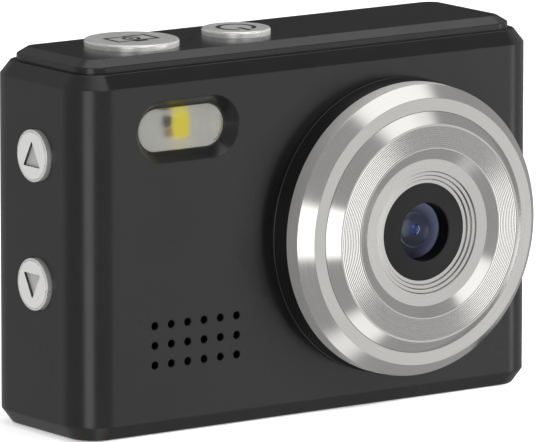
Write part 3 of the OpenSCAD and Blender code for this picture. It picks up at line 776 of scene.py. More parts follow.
shell = solid("shell_work", case_solid())
boolean(shell, solid("cavity", block(rrect(0, -0.85, 86.4, 22.2, 2.0, 4), UP, 1.8, ZC - 1.8)), "DIFFERENCE")
pads = join(
    block(rrect(FX, FZ, 22.6, 12.4, 0.5, 2), FRONT, -3.4, -1.6),
    block(rrect(0, 49.5, 7.4, 10.4, 0.5, 2), RIGHT, -4.7, -1.6),
    block(circle(LX, 0, 6.0, 48), DOWN, -9.0, -1.6),
    block(rrect(-38.25, 8.0, 2.3, 3.2, 0.1, 2), UP, 1.6, 3.2),
    block(rrect(-1.75, 8.0, 2.3, 3.2, 0.1, 2), UP, 1.6, 3.2),
    block(rrect(-20.0, -4.3, 20.0, 3.8, 0.2, 2), UP, 1.75, 2.5))
boolean(shell, solid("pads", pads), "UNION")

grille = [rim(circle(-31.25 + i * 3.18, 17.8 - j * 3.18, 0.65, 28), 2.6, 0.10, FRONT)
          for i in range(6) for j in range(3)]
pocket = Mesh()
po = rrect(FX, FZ - 0.03, 16.9, 7.15, 3.57, 24)
pocket.sweep(po, path([(-0.12, -4.2), (-0.12, -2.0), (0, -2.0), (1.45, 0), (2.7, 0.03), (2.7, 1.0)],
                      [0, 0, 0.1, 0.16, 0, 0]), FRONT)
pocket.fill([po.pts(-0.12)], FRONT, -4.2, -1)
pocket.fill([po.pts(2.7)], FRONT, 1.0, 1)
recess = Mesh()
ro = rrect(0, ZC / 2, 83.2, 51.8, 3.5, 10)
recess.sweep(ro, path([(-1.5, -4.25), (-1.5, -2.0), (0, -2.0), (0, 0), (1.0, 0.03), (1.0, 1.5)],
                      [0, 0, 0, 0.12, 0, 0]), BACK)
recess.fill([ro.pts(-1.5)], BACK, -4.25, -1)
recess.fill([ro.pts(1.0)], BACK, 1.5, 1)
cutters = join(
    rim(circle(LX, LZ, 20.0, 96), 2.6, 0.05, FRONT), pocket, recess, *grille,
    rim(circle(0.65, mid("up_button")[2], 4.3, 56), 2.6, 0.14, LEFT),
    rim(circle(0.65, mid("down_button")[2], 4.3, 56), 2.6, 0.14, LEFT),
    rim(rrect(6.0, 36, 3.8, 9.6, 1.85, 8), 2.6, 0.16, RIGHT),
    rim(rrect(6.65, 23, 1.4, 12.0, 0.25, 4), 2.6, 0.08, RIGHT),
    rim(rrect(0, 49.5, 5.0, 8.0, 1.0, 8), 3.5, 0.3, RIGHT),
    rim(circle(LX, 0, 4.2, 64), 8.0, 0.12, DOWN),
    rim(rrect(-20, -2.8, 34.2, 12.8, 0.4, 4), 2.2, 0.15, DOWN),
    block(rrect(-16.4, 0, 38.0, 18.0, 0.5, 2), UP, ZC - 2.4, ZC + 1))
boolean(shell, solid("cutters", cutters), "DIFFERENCE")
weighted(place("case_shell", cut_mesh(shell, "case_shell"), case_plastic, "case", ["main_shell"]))

# back cover, its ends cut to the round corners of the case
cover = Mesh()
co = rrect(0, ZC / 2, 83.0, 51.6, 3.4, 10)
cover.sweep(co, path([(0, -2.0), (0, 0), (-1.0, 0)], [0, 0.12, 0]), BACK)
cover.fill([co.pts()], BACK, -2.0, -1)
cover.fill([co.pts(-1.0)], BACK, 0.0, 1)
cover = solid("cover_work", cover)
boolean(cover, solid("case_again", case_solid(0.015)), "INTERSECT")
REAR_Z = [mid(n)[2] for n in ("menu_button", "mode_button", "play_button", "delete_button")]
SX = mid("screen_window")[0]
window_cut = Mesh()
wo = rrect(-SX, ZC / 2, 54.2, 42.2, 2.1, 8)
window_cut.sweep(wo, path([(-1.9, -3.0), (-1.9, -1.3), (0, -1.3), (0, 0), (1.0, 0.03), (1.0, 1.2)],
                          [0, 0, 0, 0.12, 0, 0]), BACK)
window_cut.fill([wo.pts(-1.9)], BACK, -3.0, -1)
window_cut.fill([wo.pts(1.0)], BACK, 1.2, 1)
SCREWS = [(-38.5, 6.6), (38.5, 6.6), (-38.5, 52.0), (38.5, 52.0)]


def sunk(u, v):
    m = Mesh()
    o = circle(u, v, 1.6, 40)
    m.sweep(o, path([(-0.7, -3.0), (-0.7, -1.15), (0, -1.15), (0, 0), (0.6, 0.03), (0.6, 1.2)],
                    [0, 0, 0, 0.12, 0, 0]), BACK)
    m.fill([o.pts(-0.7)], BACK, -3.0, -1)
    m.fill([o.pts(0.6)], BACK, 1.2, 1)
    return m


boolean(cover, solid("cover_cutters", join(
    window_cut, *[rim(circle(28.5, z, 3.6, 56), 3.0, 0.14, BACK) for z in REAR_Z],
    rim(circle(28.5, 50.9, 0.85, 24), 3.0, 0.08, BACK), *[sunk(-x, z) for x, z in SCREWS])), "DIFFERENCE")
weighted(place("back_cover", cut_mesh(cover, "back_cover"), case_plastic, "case", ["rear_cover"]))

# raised deck
deck = Mesh()
do = rrect(0, 0, 85.0, 22.5, 3.9, 16)
deck.sweep(do, path([(0, ZC), (0, ZC + 1.05), (-1.8, ZD), (-3.0, ZD)], [0, 0.22, 0.25, 0], step=18.0), UP)
SHX, PWX = mid("shutter_button")[0], mid("power_button")[0]
SHR, PWR = 7.65, 5.6
holes = [circle(SHX, 0, SHR + 0.1, 96), circle(PWX, 0, PWR + 0.1, 96), circle(-14.8, 0, 0.45, 24)]
lips = [0.12, 0.12, 0.06]
deck.fill([do.pts(-3.0)] + [h.pts(r) for h, r in zip(holes, lips)], UP, ZD, 1)
for h, r in zip(holes, lips):
    deck.sweep(h, path([(r, ZD), (0, ZD), (0, ZC + 0.7)], [0, r, 0]), UP)
ui = rrect(0, 0, 81.8, 19.3, 2.3, 6)
deck.sweep(ui, path([(0, ZC + 0.7), (0, ZC)], 0), UP)
deck.fill([ui.pts()] + [h.pts() for h in holes], UP, ZC + 0.7, -1)
deck.fill([do.pts(), ui.pts()], UP, ZC, -1)
place("deck", deck.data("deck"), case_plastic, "case", ["top_cover"])

# ------------------------------------------------------------------ lens

collar = Mesh().lathe(path(
    [(7.6, -1.8), (19.9, -1.8), (19.9, 0), (24.2, 0), (24.2, 0.46), (24.08, 0.55), (23.4, 3.5), (22.3, 3.5),
     (22.3, 5.65), (20.95, 7), (8.2, 7), (8.2, 1.2), (7.6, 1.2)],
    [0, 0, 0, 0, 0.015, 0.02, 0.1, 0, 0, 0, 0, 0, 0], closed=True), LENS, 256)
place("collar", collar.data("collar"), collar_plastic, "case", ["lens_collar"])

RR = (mm("lens_outer_ring")[1][0] - mm("lens_outer_ring")[0][0]) / 2
outer = Mesh().lathe(path(
    [(22.35, 3.5), (RR, 3.5), (RR - 0.15, 6.28), (21.72, 8.27), (19.6, 8.33), (19.6, 7.05), (20.97, 7.05),
     (22.35, 5.68)], [0, 0.15, 0.13, 0.10, 0.06, 0, 0, 0], closed=True), LENS, 288)
outer_me = outer.data("ring_outer")
for poly in outer_me.polygons:
    c = poly.center
    if math.hypot(c.x * 1000 - LX, c.z * 1000 - LZ) > RR - 0.17 and abs(poly.normal.y) < 0.35:
        poly.material_index = 1
place("ring_outer", outer_me, [ring_metal, rim_metal], "case", ["lens_outer_ring"])

G = 11
gp = (17.45 - 13.93) / G
gpts = [(13.715, 7.05), (19.57, 7.05), (19.57, 8.36), (17.75, 10.0)]
for i in range(G):
    gpts += [(17.45 - i * gp, 10.0), (17.45 - (i + 0.5) * gp, 10.0 - 0.5 * gp * math.tan(math.radians(7.5)))]
gpts += [(13.93, 10.0), (13.715, 10.0)]
grad = [0, 0, 0.04, 0.05] + [0, 0] * G + [0, 0.02]
gsegs = path(gpts, grad, closed=True, step=30.0)
groove = Mesh().lathe(gsegs, LENS, 288)
place("ring_grooved", groove.data("ring_grooved"), groove_metal, "case", ["lens_groove_ring"])

inner = Mesh().lathe(path(
    [(9.2, 7.05), (13.7, 7.05), (13.7, 10.03), (11.97, 9.18), (9.99, 9.1), (9.83, 8.81), (9.33, 8.78), (9.17, 8.49),
     (8.67, 8.46), (8.51, 8.17), (7.95, 8.14), (7.95, 7.6), (9.2, 7.6)],
    [0, 0, 0.02, 0.06, 0.02, 0.01, 0.02, 0.01, 0.02, 0.01, 0.02, 0, 0], closed=True), LENS, 256)
inner_me = inner.data("ring_inner")
# the riser walls of the steps take step_metal, painted shade between the steps
for poly in inner_me.polygons:
    c = poly.center
    if math.hypot(c.x * 1000 - LX, c.z * 1000 - LZ) < 10.0 and F - c.y * 1000 > 8.16 and abs(poly.normal.y) < 0.6:
        poly.material_index = 1
place("ring_inner", inner_me, [ring_metal, step_metal], "case", ["lens_inner_ring"])

plate = Mesh().lathe(path(
    [(4.76, 5.4), (5.9, 5.4), (5.9, 7.05), (9.1, 7.05), (9.1, 7.5), (7.9, 7.5), (7.9, 8.08), (4.95, 8.64), (4.76, 8.52)],
    [0, 0, 0, 0, 0, 0, 0.05, 0.06, 0.06], closed=True), LENS, 192,
    mat=0)
plate_me = plate.data("lens_plate")
place("lens_plate", plate_me, [plate_plastic, barrel_plastic], "case", ["lens_face_plate"])
for poly in plate_me.polygons:
    c = poly.center
    r = math.hypot(c.x * 1000 - LX, c.z * 1000 - LZ)
    if r < 4.95 and abs(poly.normal.y) < 0.5:
        poly.material_index = 1

barrel = Mesh().lathe(path(
    [(3.6, -7), (6.0, -7), (6.0, 4.4), (5.6, 5.3), (4.6, 5.3), (4.6, 4.0), (3.6, 4.0), (3.6, 0.8), (2.6, 0.8),
     (2.6, -1.5), (3.6, -1.5)], [0, 0, 0, 0.1, 0.05, 0, 0, 0, 0, 0, 0], closed=True), LENS, 128)
place("barrel", barrel.data("barrel"), barrel_plastic, "case", ["lens_barrel"])


def dome(r, h0, edge, bulge, k=28):
    """Plano-convex glass: flat back at h0, a rim and a spherical front."""
    R = (r * r + bulge * bulge) / (2 * bulge)
    segs = path([(0, h0), (r, h0), (r, h0 + edge)], [0, 0.05, 0])
    a0 = math.asin(r / R)
    prev = None
    for i in range(k + 1):
        a = a0 * (1 - i / k)
        cur = np.array([R * math.sin(a), h0 + edge + bulge - R + R * math.cos(a), math.sin(a), math.cos(a)])
        if prev is not None:
            segs.append((prev, cur))
        prev = cur
    return segs


place("front_glass", Mesh().lathe(dome(4.55, 5.2, 1.0, 1.2), LENS, 128).data("front_glass"), coated_glass, "case",
      ["front_element"])

disc = Mesh().lathe(path(
    [(0, 4.6), (4.5, 4.6), (4.5, 5.12), (2.66, 4.86), (2.62, 5.08), (2.48, 5.08), (2.42, 4.88), (1.4, 4.84), (0, 4.8)],
    [0, 0, 0.06, 0.03, 0.03, 0.03, 0.03, 0.1, 0]), LENS, 128)
BX, BR, BH = 0.3, 0.8, 0.36
big = (BR * BR + BH * BH) / (2 * BH)
prev, cap = None, [(np.array([0.0, 4.62, 0, -1]), np.array([BR, 4.62, 0, -1])),
                   (np.array([BR, 4.62, 1, 0]), np.array([BR, 4.76, 1, 0]))]
for i in range(11):
    a = math.asin(BR / big) * (1 - i / 10)
    cur = np.array([big * math.sin(a), 4.76 + BH - big + big * math.cos(a), math.sin(a), math.cos(a)])
    if prev is not None:
        cap.append((prev, cur))
    prev = cur
disc.lathe(cap, LENS, 96, 1, (BX, 0))
disc_me = disc.data("lens_baffle")
# polygons on the bead's right-hand rim take the painted highlight
for poly in disc_me.polygons:
    x, z = poly.center.x * 1000 - LX - BX, poly.center.z * 1000 - LZ
    if poly.material_index == 1 and math.hypot(x, z) > 0.48 and -75 < math.degrees(math.atan2(z, x)) < 40:
        poly.material_index = 2
place("lens_baffle", disc_me, [baffle, bead, glint], "case", ["barrel_spacer"])

# ------------------------------------------------------------------ flash

win = Mesh()
fo = rrect(FX, FZ - 0.08, 16.5, 6.85, 3.42, 24)
win.sweep(fo, path([(1.0, -4.0), (1.0, -3.4), (0, -3.4), (0, -1.85), (-2.0, -1.85)], [0, 0.05, 0, 0.55, 0], step=8), FRONT)
win.fill([fo.pts(1.0)], FRONT, -4.0, -1)
win.fill([fo.pts(-2.0)], FRONT, -1.85, 1)
win_me = win.data("flash_glass")
for poly in win_me.polygons:
    if poly.normal.y > -0.2:
        poly.material_index = 1
place("flash_glass", win_me, [flash_clear, flash_frost], "case", ["flash_window"])

bowl = Mesh()
bo = rrect(FX, FZ, 19.2, 9.8, 1.6, 8)
bowl.sweep(bo, path([(0, -6.5), (0, -4.05), (-0.9, -4.05), (-1.5, -5.9), (-1.59, -5.9)], [0, 0.1, 0.15, 0.1, 0]), FRONT)
bowl.fill([bo.pts()], FRONT, -6.5, -1)
bowl.fill([bo.pts(-1.59)], FRONT, -5.9, 1)
place("flash_bowl", bowl.data("flash_bowl"), flash_white, "case", ["flash_reflector"])

chip = block(rrect(-23.0, FZ - 0.08, 2.9, 4.35, 0.8, 6), FRONT, -5.9, -5.0, 0.3)
small = block(rrect(-25.6, FZ + 0.75, 1.45, 1.7, 0.5, 6), FRONT, -5.9, -5.2, 0.2)
small.m = [np.full(len(x), 1) for x in small.m]
pad = block(rrect(-25.3, FZ - 1.1, 1.6, 1.5, 0.3, 4), FRONT, -5.9, -5.5, 0.1)
pad.m = [np.full(len(x), 2) for x in pad.m]
place("flash_chips", join(chip, small, pad).data("flash_chips"), [phosphor, part_brown, part_tan], "case",
      ["flash_led"])

# ------------------------------------------------------------------ keys


def sign_loops(kind):
    """Closed lines of a sunk sign: (points, True if the sunk side is inside it)."""
    if kind == "camera":
        box = [(-4.1, -2.5), (4.1, -2.5), (4.1, 2.3), (1.4, 2.3), (1.0, 3.2), (-1.0, 3.2), (-1.4, 2.3), (-4.1, 2.3)]
        inr = [(-3.5, -1.85), (3.5, -1.85), (3.5, 1.65), (-3.5, 1.65)]
        got = [(box, True), (inr, False), (circle(0, -0.1, 1.55, 44).pts(), True), (circle(0, -0.1, 1.0, 36).pts(), False),
               (circle(0, -0.1, 0.45, 24).pts(), True)]
    elif kind == "power":
        a, b = math.asin(1.15 / 3.3), math.asin(1.15 / 2.55)
        out = [(3.3 * math.sin(t), 3.3 * math.cos(t)) for t in np.linspace(a, 2 * math.pi - a, 72)]
        inn = [(2.55 * math.sin(t), 2.55 * math.cos(t)) for t in np.linspace(2 * math.pi - b, b, 60)]
        got = [((out + inn)[::-1], True), ([(-0.4, 0.7), (0.4, 0.7), (0.4, 3.9), (-0.4, 3.9)], True)]
    elif kind == "menu":
        got = [([(-1.6, y - 0.25), (1.6, y - 0.25), (1.6, y + 0.25), (-1.6, y + 0.25)], True) for y in (-1.15, 0, 1.15)]
    elif kind == "mode":
        return [(circle(0, 0, 1.8, 40).pts(), True), (circle(0, 0, 1.25, 36).pts(), False)]
    elif kind == "play":
        got = [([(-1.1, -1.6), (1.7, 0.0), (-1.1, 1.6)], True)]
    else:
        c, e = 0.275, 1.9
        cross = [(c, c), (c, e), (-c, e), (-c, c), (-e, c), (-e, -c), (-c, -c), (-c, -e), (c, -e), (c, -c), (e, -c),
                 (e, c)]
        s = math.sqrt(0.5)
        got = [([((x - y) * s, (x + y) * s) for x, y in cross], True)]
    return [(np.array(p, float), k) for p, k in got]


def engrave(m, face, loops, pl, top, depth, face_mat=1, wall_mat=2, floor_mat=2):
    """Top face of a key with a sunk sign: the face, the sign's walls and its floor."""
    m.fill([face] + [p for p, _ in loops], pl, top, 1, face_mat)
    m.fill([p for p, _ in loops], pl, top - depth, 1, floor_mat)
    for p, sunk_inside in loops:
        area = 0.5 * np.sum(p[:, 0] * np.roll(p[:, 1], -1) - np.roll(p[:, 0], -1) * p[:, 1])
        q = p if area > 0 else p[::-1]
        m.wall(q, pl, top - depth, top, not sunk_inside, wall_mat)


def land(me, axis, level, index=1):
    """The flat land round an engraved face takes the face's material."""
    for poly in me.polygons:
        if poly.material_index == 0 and abs(poly.normal[axis]) > 0.9 and abs(poly.center[axis] * 1000 - level) < 0.04:
            poly.material_index = index
    return me


def top_key(name, node, body, x, r, kind):
    top = mm(node)[1][2]
    m = Mesh()
    m.lathe(path([(0, 54.2), (2, 54.2), (2, ZC - 0.1), (r + 0.9, ZC - 0.1), (r + 0.9, ZC + 0.65), (r, ZC + 0.65),
                  (r, top), (r - 1.0, top)], [0, 0.1, 0, 0.1, 0.1, 0, 0.36, 0]), UP, 128, 0, (x, 0))
    loops = [(np.array([[x - a, -b] for a, b in p]), k) for p, k in sign_loops(kind)]
    engrave(m, circle(x, 0, r - 1.0, 128).pts(), loops, UP, top, 0.15)
    return place(name, land(m.data(name), 2, top), [key_wall, key_face, sign_dark], body, [node])


top_key("shutter_key", "shutter_button", "shutter_key", SHX, SHR, "camera")
top_key("power_key", "power_button", "power_key", PWX, PWR, "power")


def side_key(name, node, body, tip):
    z = mid(node)[2]
    m = Mesh()
    m.lathe(path([(0, -3.6), (1, -3.6), (1, -2.6), (5, -2.6), (5, -2.0), (4.2, -2.0), (4.2, 0.84), (3.95, 0.86),
                  (3.87, 0.72), (3.77, 0.9), (3.15, 0.9)],
                 [0, 0.1, 0, 0.1, 0.1, 0, 0.16, 0.03, 0.02, 0.04, 0]), LEFT, 128, 0, (0.65, z))
    tri = [(0.65 - 2.32, z - 1.75 * tip), (0.65 + 2.32, z - 1.75 * tip), (0.65, z + 2.35 * tip)]
    if tip < 0:
        tri = tri[::-1]
    loops = [(shape(tri, 0.12, 4).pts(), True)]
    # the triangle's walls take key_cut, a dark grey that paints shade into the recess
    engrave(m, circle(0.65, z, 3.15, 128).pts(), loops, LEFT, 0.9, 0.45, 1, 3, 2)
    return place(name, land(m.data(name), 0, -W - 0.9), [side_wall, side_face, key_floor, key_cut], body, [node])


side_key("up_key", "up_button", "up_key", 1)
side_key("down_key", "down_button", "down_key", -1)


def back_key(name, node, body, kind):
    z = mid(node)[2]
    m = Mesh()
    m.lathe(path([(0, -4.05), (1, -4.05), (1, -2.85), (4.3, -2.85), (4.3, -2.25), (3.5, -2.25), (3.5, 0.6),
                  (2.5, 0.6)], [0, 0.1, 0, 0.1, 0.1, 0, 0.18, 0]), BACK, 112, 0, (28.5, z))
    loops = [(p + np.array([28.5, z]), k) for p, k in sign_loops(kind)]
    engrave(m, circle(28.5, z, 2.5, 112).pts(), loops, BACK, 0.6, 0.15)
    return place(name, land(m.data(name), 1, B + 0.6), [key_wall, key_face, sign_dark], body, [node])


for n in ("menu", "mode", "play", "delete"):
    back_key(n + "_key", n + "_button", n + "_key", n)

# ------------------------------------------------------------------ back, side and base fittings

sw = Mesh()
so = rrect(-SX, ZC / 2, 54.0, 42.0, 2.0, 10)
sw.sweep(so, path([(0, -1.3), (0, -0.1), (-1.0, -0.1)], [0, 0.18, 0]), BACK)
sw.fill([so.pts()], BACK, -1.3, -1)
sw.fill([so.pts(-1.0)], BACK, -0.1, 1)
place("screen_glass", sw.data("screen_glass"), screen_glass, "case", ["screen_window"])

led = Mesh().lathe(path([(0, -3.9), (0.8, -3.9), (0.8, -0.3), (0.45, -0.06), (0, -0.05)], [0, 0, 0.2, 0.2, 0]), BACK, 32,
                   0, (28.5, 50.9))
place("status_lens", led.data("status_lens"), white_plastic, "case", ["status_light"])

screws = Mesh()
for x, z in SCREWS:
    screws.lathe(path([(0, -10.15), (0.72, -9.6), (0.72, -1.15), (1.5, -1.15), (1.5, -0.25), (1.15, -0.25)],
                      [0, 0.1, 0, 0.05, 0.16, 0]), BACK, 48, 0, (-x, z))
    a = 0.6 + x * 0.02 + z * 0.03
    c, e = 0.17, 0.86
    cr = np.array([(c, c), (c, e), (-c, e), (-c, c), (-e, c), (-e, -c), (-c, -c), (-c, -e), (c, -e), (c, -c), (e, -c),
                   (e, c)])
    rot = np.array([[math.cos(a), -math.sin(a)], [math.sin(a), math.cos(a)]])
    cr = cr @ rot.T + np.array([-x, z])
    engrave(screws, circle(-x, z, 1.15, 48).pts(), [(cr, True)], BACK, -0.25, 0.5, 0, 0, 0)
place("cover_screws", screws.data("cover_screws"), steel, "case", ["case_screws"])

# tripod nut with a real helical thread, 1.27 mm pitch
nut = Mesh()
K = 96
nc = circle(LX, 0, 0.0, K)
zs = np.linspace(0.35, 7.95, 73)
nut.sweep(nc, path([(4.17, -7.95), (4.17, 0.0), (3.3, 0.0), (3.0, -0.35)], [0, 0.2, 0.05, 0]), DOWN)
rows = []
for z in zs:
    ph = (z / 1.27 - np.arange(K) / K) % 1.0
    tri = np.abs(ph * 2 - 1)
    r = 2.55 + 0.5 * np.clip(tri * 1.25 - 0.12, 0, 1)
    fade = min(1.0, max(0.0, (z - 0.35) / 0.3))
    rows.append(3.0 * (1 - fade) + r * fade)
for i in range(len(zs) - 1):
    pa, pb = DOWN.at(nc.c + nc.n * rows[i][:, None], -zs[i]), DOWN.at(nc.c + nc.n * rows[i + 1][:, None], -zs[i + 1])
    j = (np.arange(K) + 1) % K
    q = np.stack([pa, pa[j], pb[j], pb], 1)
    g = np.cross(q[:, 2] - q[:, 0], q[:, 3] - q[:, 1])
    g /= np.linalg.norm(g, axis=1)[:, None]
    inward = -DOWN.way(nc.n, 0)
    g *= np.sign(np.einsum("ij,ij->i", g, inward))[:, None]
    nut.add(q, np.repeat(g[:, None], 4, 1))
last = nc.c + nc.n * rows[-1][:, None]
nut.fill([nc.pts(4.17), last], DOWN, -zs[-1], -1)
place("tripod_nut_threaded", nut.data("tripod_nut_threaded"), brass, "case", ["tripod_nut"])

usb = Mesh()
uo = rrect(6.0, 36, 3.2, 9.0, 1.58, 10)
usb.sweep(uo, path([(0, -7.6), (0, -0.3), (-0.3, -0.3), (-0.3, -6.6)], [0, 0.1, 0.1, 0]), RIGHT)
usb.fill([uo.pts()], RIGHT, -7.6, -1)
usb.fill([uo.pts(-0.3)], RIGHT, -6.6, 1)
tongue = block(rrect(6.0, 36, 0.7, 6.7, 0.15, 3), RIGHT, -6.5, -1.1, 0.1)
tongue.m = [np.full(len(x), 1) for x in tongue.m]
pins = []
for s in (-1, 1):
    for i in range(12):
        p = block(rrect(6.0 + s * 0.36, 36 + (i - 5.5) * 0.5, 0.04, 0.25, 0.01, 2), RIGHT, -6.3, -1.5)
        p.m = [np.full(len(x), 2) for x in p.m]
        pins.append(p)
place("usb_socket", join(usb, tongue, *pins).data("usb_socket"), [steel, chip_black, gold], "case", ["usb_port"])

bar = Mesh().lathe(path([(0, 44.75), (0.7, 44.75), (0.7, 54.25), (0, 54.25)], [0, 0.1, 0.1, 0]), UP, 48, 0, (43.9, 0))
place("strap_pin", bar.data("strap_pin"), steel, "case", ["strap_bar"])

# battery door: plate and hinge knuckle in one, with a thumb notch
DY, DZ = 7.9, 1.2
prof = [(-3.5, 1.6), (-3.5, 0.0)]
prof += [(DY + 1.2 * math.sin(t), DZ - 1.2 * math.cos(t)) for t in np.linspace(0, math.pi, 25)]
prof += [(DY + 1.2 * math.sin(t), DZ - 1.2 * math.cos(t)) for t in np.linspace(math.pi, 1.6 * math.pi, 12)[1:]
         if DZ - 1.2 * math.cos(t) > 1.62]
prof += [(6.769, 1.6)]
ps = path(prof, [0.2, 0.2] + [0] * (len(prof) - 2), closed=True, step=20.0)
pc = np.array([s[0][:2] for s in ps])
pn = np.array([s[0][2:] for s in ps])
for i in range(len(ps)):
    m_ = ps[i - 1][1][2:] + ps[i][0][2:]
    if ps[i - 1][1][2:] @ ps[i][0][2:] > 0.3:
        pn[i] = m_ / np.linalg.norm(m_)
dx0, dx1 = mm("battery_door")[0][0], mm("battery_door")[1][0]
DOOR = Plane((0, 0, 0), (0, 1, 0), (0, 0, 1), (1, 0, 0))
dout = Outline(pc, pn, 0.0)
door = Mesh()
door.sweep(dout, path([(-0.1, dx0), (0, dx0), (0, dx1), (-0.1, dx1)], [0, 0.1, 0.1, 0]), DOOR)
door.fill([dout.pts(-0.1)], DOOR, dx0, -1)
door.fill([dout.pts(-0.1)], DOOR, dx1, 1)
door = solid("door_work", door)
boolean(door, solid("notch", rim(rrect(-20, 1.9, 10.0, 1.4, 0.65, 8), 0.6, 0.12, DOWN)), "DIFFERENCE")
weighted(place("door", cut_mesh(door, "door", 40.0), case_plastic, "door", ["battery_door"]))

# ------------------------------------------------------------------ CAD pieces that stay

STAY = {
    "middle_element": inner_glass, "rear_element": inner_glass, "ir_filter": inner_glass,
    "lens_holder": barrel_plastic, "image_sensor": display_mat, "sensor_board": circuit_board,
    "sensor_flex": flex_amber, "flash_board": circuit_board, "speaker": chip_black, "speaker_mesh": speaker_cloth,
    "microphone": steel, "main_board": circuit_board, "processor": chip_black, "board_parts": chip_black,
    "lcd_frame": steel, "lcd_panel": display_mat, "lcd_flex": flex_amber, "battery_bay": inner_plastic,
    "battery": battery_wrap, "battery_contacts": gold, "door_pin": steel, "card_socket": steel,
    "board_screws": steel, "shutter_plunger": inner_plastic, "power_plunger": inner_plastic,
    "top_switches": chip_black, "top_board": circuit_board, "side_switches": chip_black,
    "side_board": circuit_board, "rear_switches": chip_black,
}
for n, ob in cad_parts.items():
    if ob.hide_render:
        continue
    m = STAY.get(n, inner_plastic)
    ob.data.materials.clear()
    ob.data.materials.append(m)

# ------------------------------------------------------------------ floor and light

fm = Nodes("floor")
fm.colour(fm.noise(3.0, 2.0).outputs["Fac"], (0.94, 0.94, 0.94), (0.96, 0.96, 0.96))
fm.set(Roughness=0.9, Specular_IOR_Level=0.1, Emission_Color=(1.0, 1.0, 1.0), Emission_Strength=0.35)
under = fm.new("ShaderNodeMixShader")                       # the floor can be looked through from below
fm.link(fm.new("ShaderNodeNewGeometry").outputs["Backfacing"], under.inputs["Fac"])
fm.link(fm.b.outputs["BSDF"], under.inputs[1])
fm.link(fm.new("ShaderNodeBsdfTransparent").outputs["BSDF"], under.inputs[2])
fm.link(under.outputs["Shader"], fm.out.inputs["Surface"])
s = 12.0
fme = bpy.data.meshes.new("floor")
fme.from_pydata([(-s, -s, -0.0002), (s, -s, -0.0002), (s, s, -0.0002), (-s, s, -0.0002)], [], [(0, 1, 2, 3)])
floor = bpy.data.objects.new("floor", fme)
fme.materials.append(fm.mat)
scene.collection.objects.link(floor)
floor.visible_glossy = False
floor.visible_transmission = False


def softbox(name, spot, size, power, aim=(0.0, 0.0, 0.03)):
    """Square area light that lights the object but isn't mirrored in it."""
    li = bpy.data.lights.new(name, "AREA")
    li.shape, li.size, li.energy = "SQUARE", size, power
    ob = bpy.data.objects.new(name, li)
    scene.collection.objects.link(ob)
    ob.location = spot
    ob.rotation_mode = "QUATERNION"
    ob.rotation_quaternion = (Vector(spot) - Vector(aim)).to_track_quat("Z", "Y")
    ob.visible_glossy = False
    ob.visible_transmission = False
    ob.visible_camera = False
    return ob


softbox("left", (-2.88, -0.5, 1.12), 2.5, 40.6)
softbox("top", (0.37, -1.0, 2.88), 2.5, 31.2)
softbox("front_right", (0.115, -0.15, 0.10), 0.09, 0.7, (0.0, 0.0, 0.035))
softbox("back", (-1.0, 2.88, 1.88), 2.5, 37.5)
softbox("right", (3.0, 0.25, 1.0), 2.5, 25.0)

world = bpy.data.worlds.new("studio")
scene.world = world
world.use_nodes = True
wt = world.node_tree
wt.nodes.clear()


def wn(kind, **props):
    n = wt.nodes.new(kind)
    for k, v in props.items():
        setattr(n, k, v)
    return n


def wm(op, a, b=None, clamp=False):
    n = wn("ShaderNodeMath", operation=op, use_clamp=clamp)
    for i, x in enumerate((a, b)):
        if x is None:
            continue
        if isinstance(x, (int, float)):
            n.inputs[i].default_value = x
        else:
            wt.links.new(x, n.inputs[i])
    return n.outputs[0]


def vec(op, a, b=None):
    n = wn("ShaderNodeVectorMath", operation=op)
    wt.links.new(a, n.inputs[0])
    if b is not None:
        n.inputs[1].default_value = b
    return n.outputs["Value"] if op == "DOT_PRODUCT" else n.outputs["Vector"]


def step(v, lo, hi):
    """0 below lo, 1 above hi, smooth between."""
    n = wn("ShaderNodeMapRange", interpolation_type="SMOOTHSTEP")
    n.inputs["From Min"].default_value, n.inputs["From Max"].default_value = lo, hi
    wt.links.new(v, n.inputs["Value"])
    return n.outputs["Result"]


def blend(w, a, b):
    """a where w is 0 and b where it is 1."""
    if isinstance(a, (int, float)):
        a = wm("ADD", a, 0.0)
    return wm("ADD", wm("MULTIPLY", a, wm("SUBTRACT", 1.0, w)), wm("MULTIPLY", b, w))


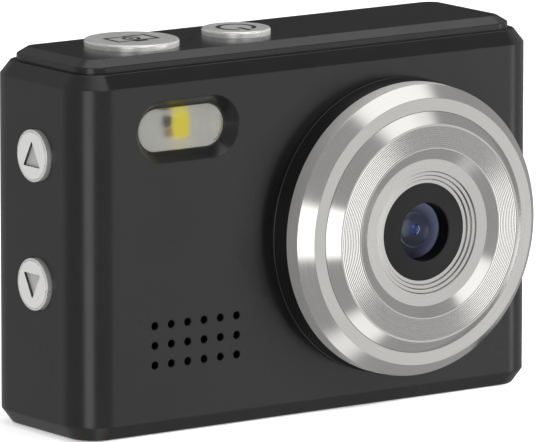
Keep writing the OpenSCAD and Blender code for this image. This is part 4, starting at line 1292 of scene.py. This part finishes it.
# Plain soft studio: an even surround with a few large softboxes and dark cloths hung in it. Each is
# a soft-edged round of one brightness in a fixed direction from the object.
ray = wn("ShaderNodeTexCoord").outputs["Generated"]
total = wm("ADD", 0.34, 0.0)
for direction, inner, outer, value in (
        ((0.20, 0.0, 0.98), 27, 35, 1.20),          # overhead softbox
        ((-0.02, -0.90, 0.42), 14, 20, 1.20),       # high front softbox
        ((-0.72, -0.66, -0.05), 13, 19, 1.70),      # left softbox
        ((0.76, -0.60, -0.22), 7, 11, 1.70),        # right softbox
        ((0.0, -0.45, -0.89), 12, 20, 1.10),        # bounce card below
        ((0.573, -0.80, -0.175), 9, 12, 0.665),     # front fill
        ((-0.573, 0.80, -0.175), 14, 24, 0.45),     # rear left fill
        ((0.573, 0.80, 0.175), 16, 26, 0.07),       # dark cloth behind
        ((0.573, -0.46, 0.68), 8, 13, 0.12)):       # dark cloth over the front
    length = math.sqrt(sum(x * x for x in direction))
    d = vec("DOT_PRODUCT", ray, tuple(x / length for x in direction))
    w = step(d, math.cos(math.radians(outer)), math.cos(math.radians(inner)))
    total = blend(w, total, wm("ADD", value, 0.0))

lp = wn("ShaderNodeLightPath")
plain = wm("ADD", wm("MULTIPLY", lp.outputs["Is Camera Ray"], 0.97 - 0.5), 0.5)
rs = wn("ShaderNodeSeparateXYZ")
wt.links.new(ray, rs.inputs["Vector"])
through = wm("MAXIMUM", wm("SUBTRACT", 1.15, wm("MULTIPLY", rs.outputs["X"], 0.8)), 0.2)
plain = blend(lp.outputs["Is Transmission Ray"], plain, through)
level = blend(lp.outputs["Is Glossy Ray"], plain, total)
bg = wn("ShaderNodeBackground")
wt.links.new(level, bg.inputs["Strength"])
bg.inputs["Color"].default_value = (1.0, 0.998, 0.992, 1.0)
wo_ = wn("ShaderNodeOutputWorld")
wt.links.new(bg.outputs["Background"], wo_.inputs["Surface"])
world.cycles.sampling_method = "NONE"

scene.view_settings.view_transform = "Standard"
scene.view_settings.look = "None"
scene.view_settings.exposure = 0.0
scene.view_settings.gamma = 1.0
scene.cycles.use_denoising = True
scene.cycles.max_bounces = 12
scene.cycles.transparent_max_bounces = 12
scene.cycles.sample_clamp_indirect = 1.2
scene.cycles.caustics_reflective = False
